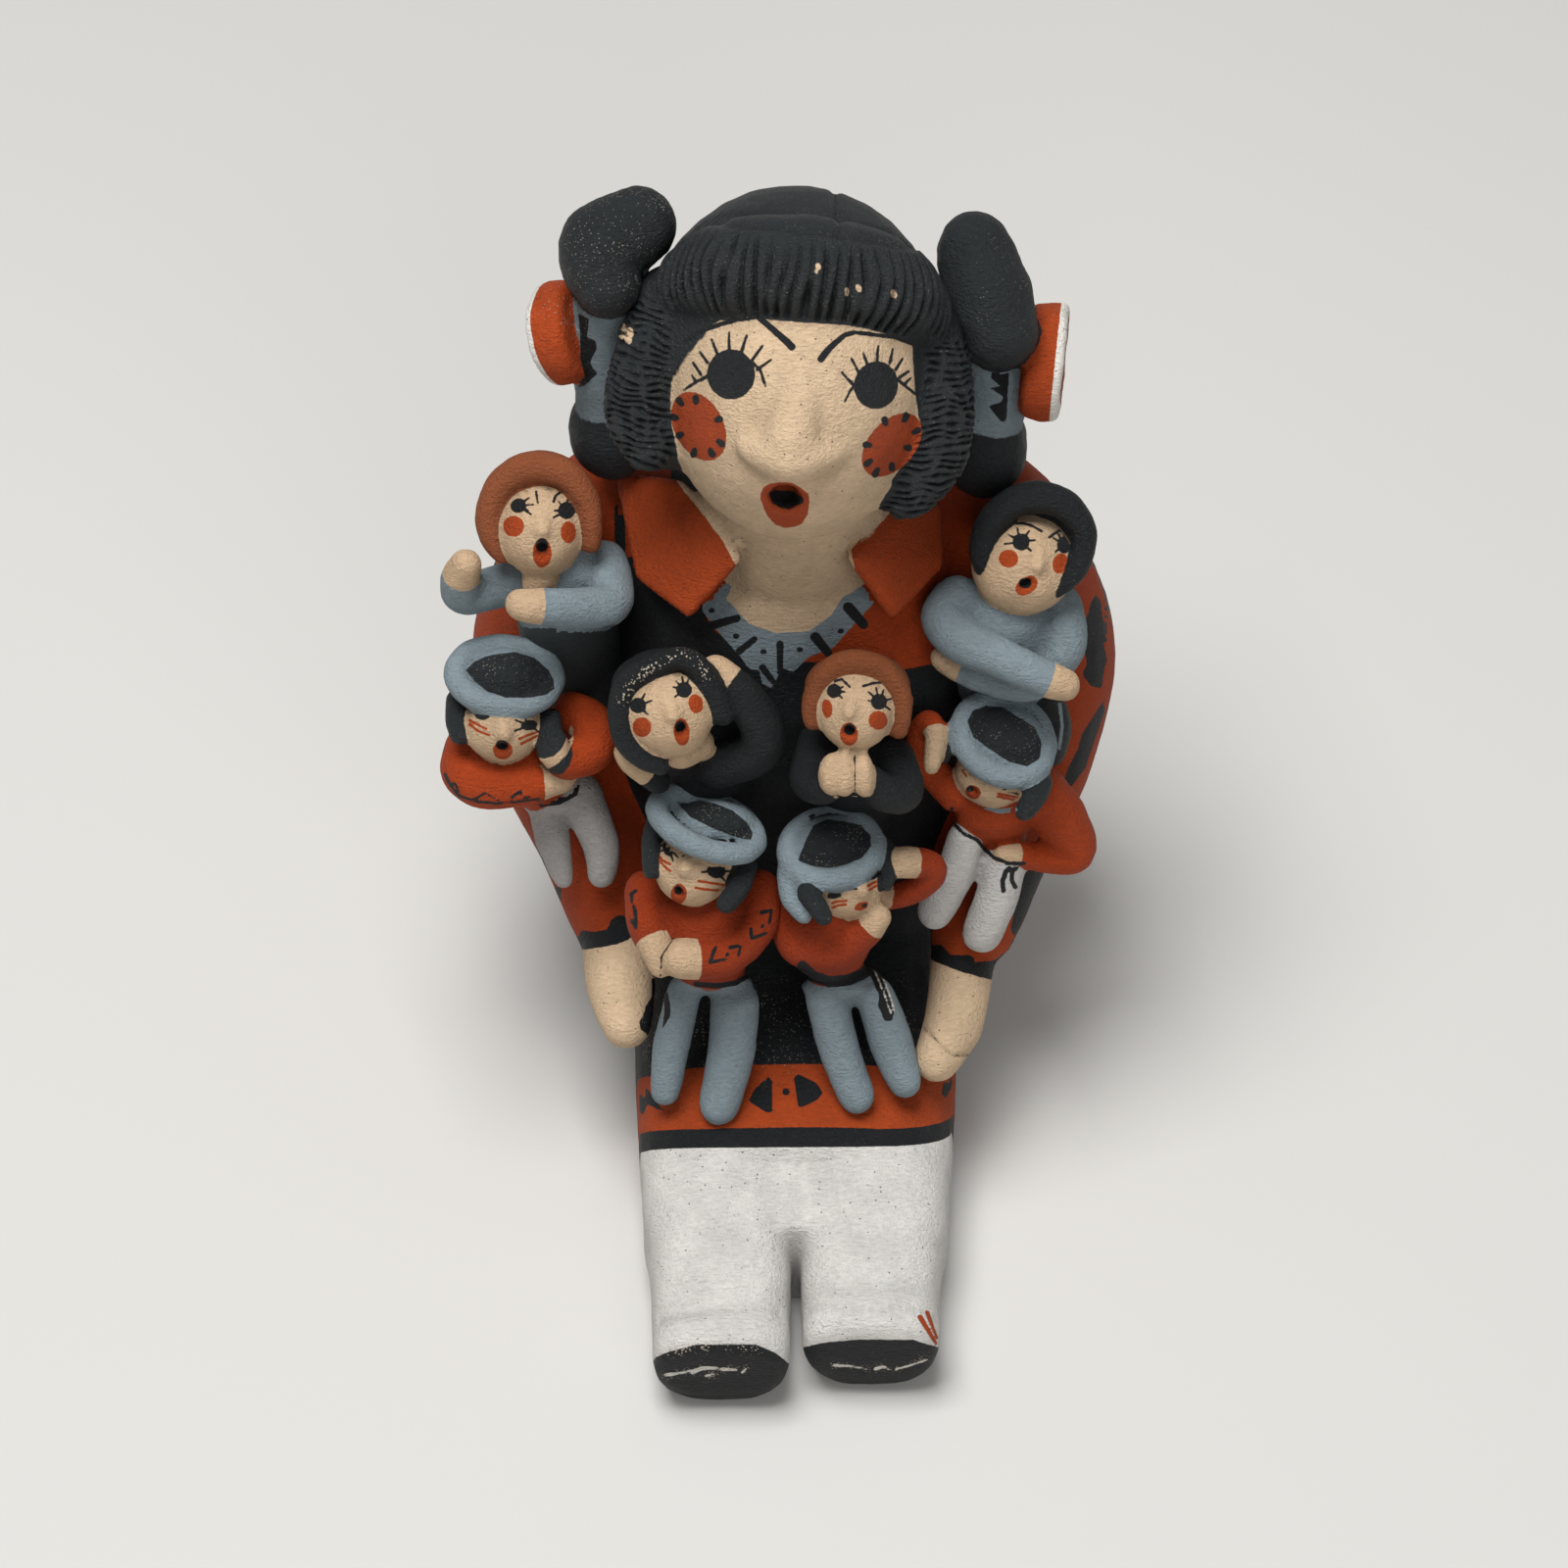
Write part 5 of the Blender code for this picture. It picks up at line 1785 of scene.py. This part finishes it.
brush.patch("ink", [(824, 834), (828, 830), (833, 831), (829, 836)])
paint_face(
    brush,
    on_face,
    eyes=[((850, 913), (8.4, 4), 0, []), ((892, 893), (6.8, 4), -28, [(899, 887)])],
    brows=[[(870, 906), (874, 907)]],
    stripes=[
        [(845, 923), (854, 920), (864, 919)], [(848, 927), (855, 924), (863, 923)],
        [(886, 904), (893, 900), (899, 898)], [(887, 908), (894, 904), (899, 901)],
    ],
    mouth=((879, 924.8), (7.4, 4.2), -25),
    shaded_mouth=((882, 924), (2.8, 2)),
)
hem = [(819, 986), (829, 996), (847, 1002), (866, 1000), (882, 993), (892, 981)]
brush.coats.lay("ink", brush.to_stroke(hem, 11.5))
brush.patch(
    "ink",
    [(887, 993), (892, 984), (900, 993), (913, 1031), (910, 1042), (903, 1042), (896, 1027), (897, 1016)],
)
brush.stroke("chalk", [(892, 989), (903, 1016), (909, 1034)], 1.9)
brush.stroke("chalk", [(896, 986), (906, 1010), (913, 1032)], 1.9)
for skin, coats, colours in children:
    coats.store()

# %% [markdown]
# ## Slip-painted clay
#
# The real surface is fired earthenware under matt clay slips. Slip has no gloss: it is a fine mineral
# powder that is fixed by the firing, so it is rough and a little dusty, and the brush leaves faint ridges
# and streaks in it. The black goes on thickest and shines a little where hands have rubbed it. Small pits
# show where a grain of the clay burned out, and their floors are painted dark, as bare clay in painted
# shade. On raised edges the slip is rubbed thin and the paler clay shows in specks, and the ridges are also
# painted paler as a highlight. The hollows are painted darker, as shade.
#
# One function builds the material for a piece from the colour of its body coat. For every pot it reads the
# stored distance, lets a noise shake the edge by up to 0.18 mm, as a hand does, and mixes the pot's colour
# in where the distance is below zero.

# %% Colours and the node helper
def linear(colour):
    """An sRGB hex colour as linear light."""
    channels = [int(colour[k:k + 2], 16) / 255 for k in (0, 2, 4)]
    steps = [c / 12.92 if c <= 0.04045 else ((c + 0.055) / 1.055) ** 2.4 for c in channels]
    return (*steps, 1.0)


def add(tree, kind, links=(), inputs=(), output=0, **settings):
    """Add a node with its settings, links and values, and give one of its outputs."""
    made = tree.nodes.new("ShaderNode" + kind)
    for name, value in settings.items():
        setattr(made, name, value)
    for socket, value in inputs:
        made.inputs[socket].default_value = value
    for socket, source in links:
        tree.links.new(source, made.inputs[socket])
    return made.outputs[output]


COLOURS = {
    "body": RED_EARTH, "black": BLACK, "white": "D4D1CC", "grey": "7D8A90", "skin": "CDB292",
    "red": "A03E12", "ink": "16181A", "chalk": "DAD6CE",
}
SCUFF_AND_HIGHLIGHT = "B5AA98"
PIT_CLAY_AND_SHADE = "4A4038"

# %% [markdown]
# The edge of each coat comes first, then the tone of the paint with painted shade in its hollows, the marks
# of wear with a painted highlight on ridges, and the small relief.
#
# The scale of a pattern is how often it repeats in a millimetre: brush ridges lie about 0.6 mm apart,
# grains 0.5 mm, the wobbles of an edge 1.2 mm, specks 0.7 mm and pits 2 mm. Thick and thin places of the
# slip change over about 9 mm, and worn patches over 6 mm.

# %% The material
RIDGES = 1.7
GRAINS = 2.0
WOBBLES = 0.8
SPECKS = 1.5
PITS = 0.5
CLOUDS = 0.11
WORN_PATCHES = 0.16
WEAR_AND_HIGHLIGHT = 0.4
RELIEF = 0.00065
IN_MILLIMETRES = (1000, 1000, 1000)
DRAWN_OUT = (280, 1000, 1000)


def slip_painted_clay(name, colours, pits=1.0, gloss=0.3, combed=False):
    colours = {**COLOURS, **colours}
    material = bpy.data.materials.new(name)
    material.use_nodes = True
    tree = material.node_tree
    shader = tree.nodes["Principled BSDF"]
    shader.inputs["IOR"].default_value = 1.45
    shader.inputs["Specular IOR Level"].default_value = gloss
    place = add(tree, "TexCoord", output="Object")
    # Object coordinates in millimetres, and a copy that is drawn out sideways for the brush's streaks.
    in_mm = add(tree, "Mapping", [("Vector", place)], [("Scale", IN_MILLIMETRES)])
    drawn_out = add(tree, "Mapping", [("Vector", place)], [("Scale", DRAWN_OUT)])

    # Coats with hand-drawn edges.
    hand = add(tree, "TexNoise", [("Vector", in_mm)], [("Scale", WOBBLES), ("Detail", 3.0)])
    shake = add(tree, "Math", [(0, hand)], [(1, 0.36), (2, -0.18)], operation="MULTIPLY_ADD")
    paint = add(tree, "RGB")
    paint.default_value = linear(colours["body"])
    for pot in POTS:
        edge = add(tree, "Attribute", output="Fac", attribute_name=pot)
        shaken = add(tree, "Math", [(0, edge), (1, shake)], operation="ADD")
        covers = add(
            tree, "MapRange", [("Value", shaken)],
            [("From Min", 0.07), ("From Max", -0.07), ("To Min", 0.0), ("To Max", 1.0)],
        )
        paint = add(
            tree, "Mix", [("Factor", covers), (6, paint)], [(7, linear(colours[pot]))],
            output=2, data_type="RGBA",
        )

    # Uneven tone: brush streaks, thick and thin places, and painted shade that darkens the hollows.
    streaks = add(
        tree, "TexNoise", [("Vector", drawn_out)], [("Scale", RIDGES), ("Detail", 4.0), ("Roughness", 0.6)],
    )
    clouds = add(tree, "TexNoise", [("Vector", in_mm)], [("Scale", CLOUDS), ("Detail", 3.0)])
    ridge = add(tree, "Attribute", output="Fac", attribute_name="ridge")
    tone = add(tree, "Math", [(0, streaks)], [(1, 0.6), (2, 0.50)], operation="MULTIPLY_ADD")
    tone = add(tree, "Math", [(0, clouds), (2, tone)], [(1, 0.42)], operation="MULTIPLY_ADD")
    # Painted shade: the more a point lies in a hollow, the darker its paint.
    painted_shade_in_hollows = add(
        tree, "MapRange", [("Value", ridge)],
        [("From Min", -0.8), ("From Max", 0.1), ("To Min", 0.62), ("To Max", 1.0)],
    )
    tone = add(tree, "Math", [(0, tone), (1, painted_shade_in_hollows)], operation="MULTIPLY")
    paint = add(tree, "VectorMath", [(0, paint), ("Scale", tone)], operation="SCALE")

    # Wear and painted light: ridges made paler, partly as rubbed slip and partly as a painted highlight,
    # pale specks in patches, and pits with painted shade in them.
    crumbs = add(
        tree, "TexNoise", [("Vector", in_mm)], [("Scale", SPECKS), ("Detail", 5.0), ("Roughness", 0.7)],
    )
    # Raised ridges turn paler: partly rubbed slip, partly a painted highlight.
    rubbed = add(tree, "Math", [(0, ridge), (2, crumbs)], [(1, 0.12)], operation="MULTIPLY_ADD")
    ridge_wear_and_highlight = add(
        tree, "MapRange", [("Value", rubbed)],
        [("From Min", 0.68), ("From Max", 0.78), ("To Min", 0.0), ("To Max", WEAR_AND_HIGHLIGHT)],
    )
    scuff_and_highlight_colour = [(7, linear(SCUFF_AND_HIGHLIGHT))]
    paint = add(tree, "Mix", [("Factor", ridge_wear_and_highlight), (6, paint)], scuff_and_highlight_colour, output=2, data_type="RGBA")
    handled = add(tree, "Attribute", output="Fac", attribute_name="rubbed")
    dots = add(tree, "TexVoronoi", [("Vector", in_mm)], [("Scale", SPECKS)], output="Distance")
    patches = add(tree, "TexNoise", [("Vector", in_mm)], [("Scale", WORN_PATCHES), ("Detail", 2.0)])
    size = add(
        tree, "MapRange", [("Value", patches)],
        [("From Min", 0.45), ("From Max", 0.7), ("To Min", 0.0), ("To Max", 0.13)],
    )
    size = add(tree, "Math", [(0, handled), (2, size)], [(1, 0.34)], operation="MULTIPLY_ADD")
    speck = add(tree, "Math", [(0, dots), (1, size)], operation="LESS_THAN")
    pale = add(tree, "Math", [(0, handled)], [(1, 0.7), (2, WEAR_AND_HIGHLIGHT * 0.7)], operation="MULTIPLY_ADD")
    faint = add(tree, "Math", [(0, speck), (1, pale)], operation="MULTIPLY")
    paint = add(tree, "Mix", [("Factor", faint), (6, paint)], scuff_and_highlight_colour, output=2, data_type="RGBA")
    holes = add(tree, "TexVoronoi", [("Vector", in_mm)], [("Scale", PITS)], output="Distance")
    pit = add(
        tree, "MapRange", [("Value", holes)],
        [("From Min", 0.05), ("From Max", 0.10), ("To Min", pits), ("To Max", 0.0)],
    )
    # The floor of each pit is painted dark: bare clay with painted shade in it.
    pit_clay_and_shade = [(7, linear(PIT_CLAY_AND_SHADE))]
    paint = add(tree, "Mix", [("Factor", pit), (6, paint)], pit_clay_and_shade, output=2, data_type="RGBA")
    tree.links.new(paint, shader.inputs["Base Color"])

    # Dark slip is rubbed smoother than pale slip.
    light = add(tree, "RGBToBW", [("Color", paint)])
    rough = add(
        tree, "MapRange", [("Value", light)],
        [("From Min", 0.01), ("From Max", 0.2), ("To Min", 0.6 - gloss / 2), ("To Max", 0.8)],
    )
    rough = add(tree, "Math", [(0, streaks), (2, rough)], [(1, 0.12)], operation="MULTIPLY_ADD")
    tree.links.new(rough, shader.inputs["Roughness"])

    # Relief: brush ridges, grain and pits, and the sharp part of the combed grooves.
    grain = add(
        tree, "TexNoise", [("Vector", in_mm)], [("Scale", GRAINS), ("Detail", 4.0), ("Roughness", 0.6)],
    )
    height = add(tree, "Math", [(0, streaks), (1, grain)], operation="ADD")
    height = add(tree, "Math", [(0, pit), (2, height)], [(1, -0.5)], operation="MULTIPLY_ADD")
    if combed:
        count = add(tree, "Attribute", output="Fac", attribute_name="grooves")
        strength = add(tree, "Attribute", output="Fac", attribute_name="combed")
        turn = add(tree, "Math", [(0, count)], [(1, 2 * math.pi)], operation="MULTIPLY")
        wave = add(tree, "Math", [(0, turn)], operation="COSINE")
        wave = add(tree, "Math", [(0, wave)], [(1, 0.5), (2, 0.5)], operation="MULTIPLY_ADD")
        wave = add(tree, "Math", [(0, wave)], [(1, 5.0)], operation="POWER")
        pressed = add(tree, "Math", [(0, wave), (1, strength)], operation="MULTIPLY")
        height = add(tree, "Math", [(0, pressed), (2, height)], [(1, -0.9)], operation="MULTIPLY_ADD")
    bump = add(tree, "Bump", [("Height", height)], [("Strength", 1.0), ("Distance", RELIEF)])
    tree.links.new(bump, shader.inputs["Normal"])
    return material


# %% [markdown]
# ## Setting the pieces in place
#
# Each mesh moves from the potter's millimetres to the row's metres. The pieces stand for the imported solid
# `storyteller` together and ride on its one body.

# %% Pieces
def finish_piece(skin, material):
    to_row = Matrix.Scale(MILLIMETRE, 4) @ Matrix.Translation(AXIS_TO_MIDDLE)
    skin.mesh.transform(to_row)
    skin.mesh.materials.clear()
    skin.mesh.materials.append(material)
    skin.mesh.shade_smooth()
    piece = new_object(skin.name, skin.mesh)
    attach(piece, "root")
    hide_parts("storyteller")
    return piece


finish_piece(body_skin, slip_painted_clay("matt_slip_red_earth", {}))
finish_piece(
    head_skin,
    slip_painted_clay("matt_slip_combed_black_hair", {"body": WORN_BLACK}, gloss=0.38, combed=True),
)
finish_piece(knot_skin, slip_painted_clay("matt_slip_black_hair", {"body": WORN_BLACK}))
for skin, _coats, colours in children:
    finish_piece(skin, slip_painted_clay("matt_slip_" + skin.name, colours, pits=0.4))

# %% [markdown]
# ## Floor and light
#
# The floor is a plain pale sheet of matt paper. The light is one large soft box high on the left, as in the
# photograph, with a weaker one on the right and a pale room around them, so the shadows stay soft.

# %% Floor
sheet = bmesh.new()
bmesh.ops.create_grid(sheet, x_segments=1, y_segments=1, size=3.0)
floor_mesh = bpy.data.meshes.new("floor")
sheet.to_mesh(floor_mesh)
sheet.free()
floor = new_object("floor", floor_mesh)
floor.location.z = -0.0005
paper = bpy.data.materials.new("matt_paper")
paper.use_nodes = True
paper.node_tree.nodes["Principled BSDF"].inputs["Base Color"].default_value = linear("C9C7C3")
paper.node_tree.nodes["Principled BSDF"].inputs["Roughness"].default_value = 0.9
floor_mesh.materials.append(paper)


# %% Light
def soft_box(name, place, size, power):
    light = bpy.data.lights.new(name, "AREA")
    light.shape = "SQUARE"
    light.size = size
    light.energy = power
    lamp = bpy.data.objects.new(name, light)
    lamp.location = place
    lamp.rotation_euler = (LOOKED_AT - Vector(place)).to_track_quat("-Z", "Y").to_euler()
    bpy.context.scene.collection.objects.link(lamp)


soft_box("key", (-0.22, -0.06, 1.45), size=0.7, power=23)
soft_box("fill", (0.35, -1.2, 0.9), size=0.9, power=6.0)
room = bpy.data.worlds.new("room")
bpy.context.scene.world = room
room.use_nodes = True
room.node_tree.nodes["Background"].inputs["Color"].default_value = (1, 1, 1, 1)
room.node_tree.nodes["Background"].inputs["Strength"].default_value = 0.22
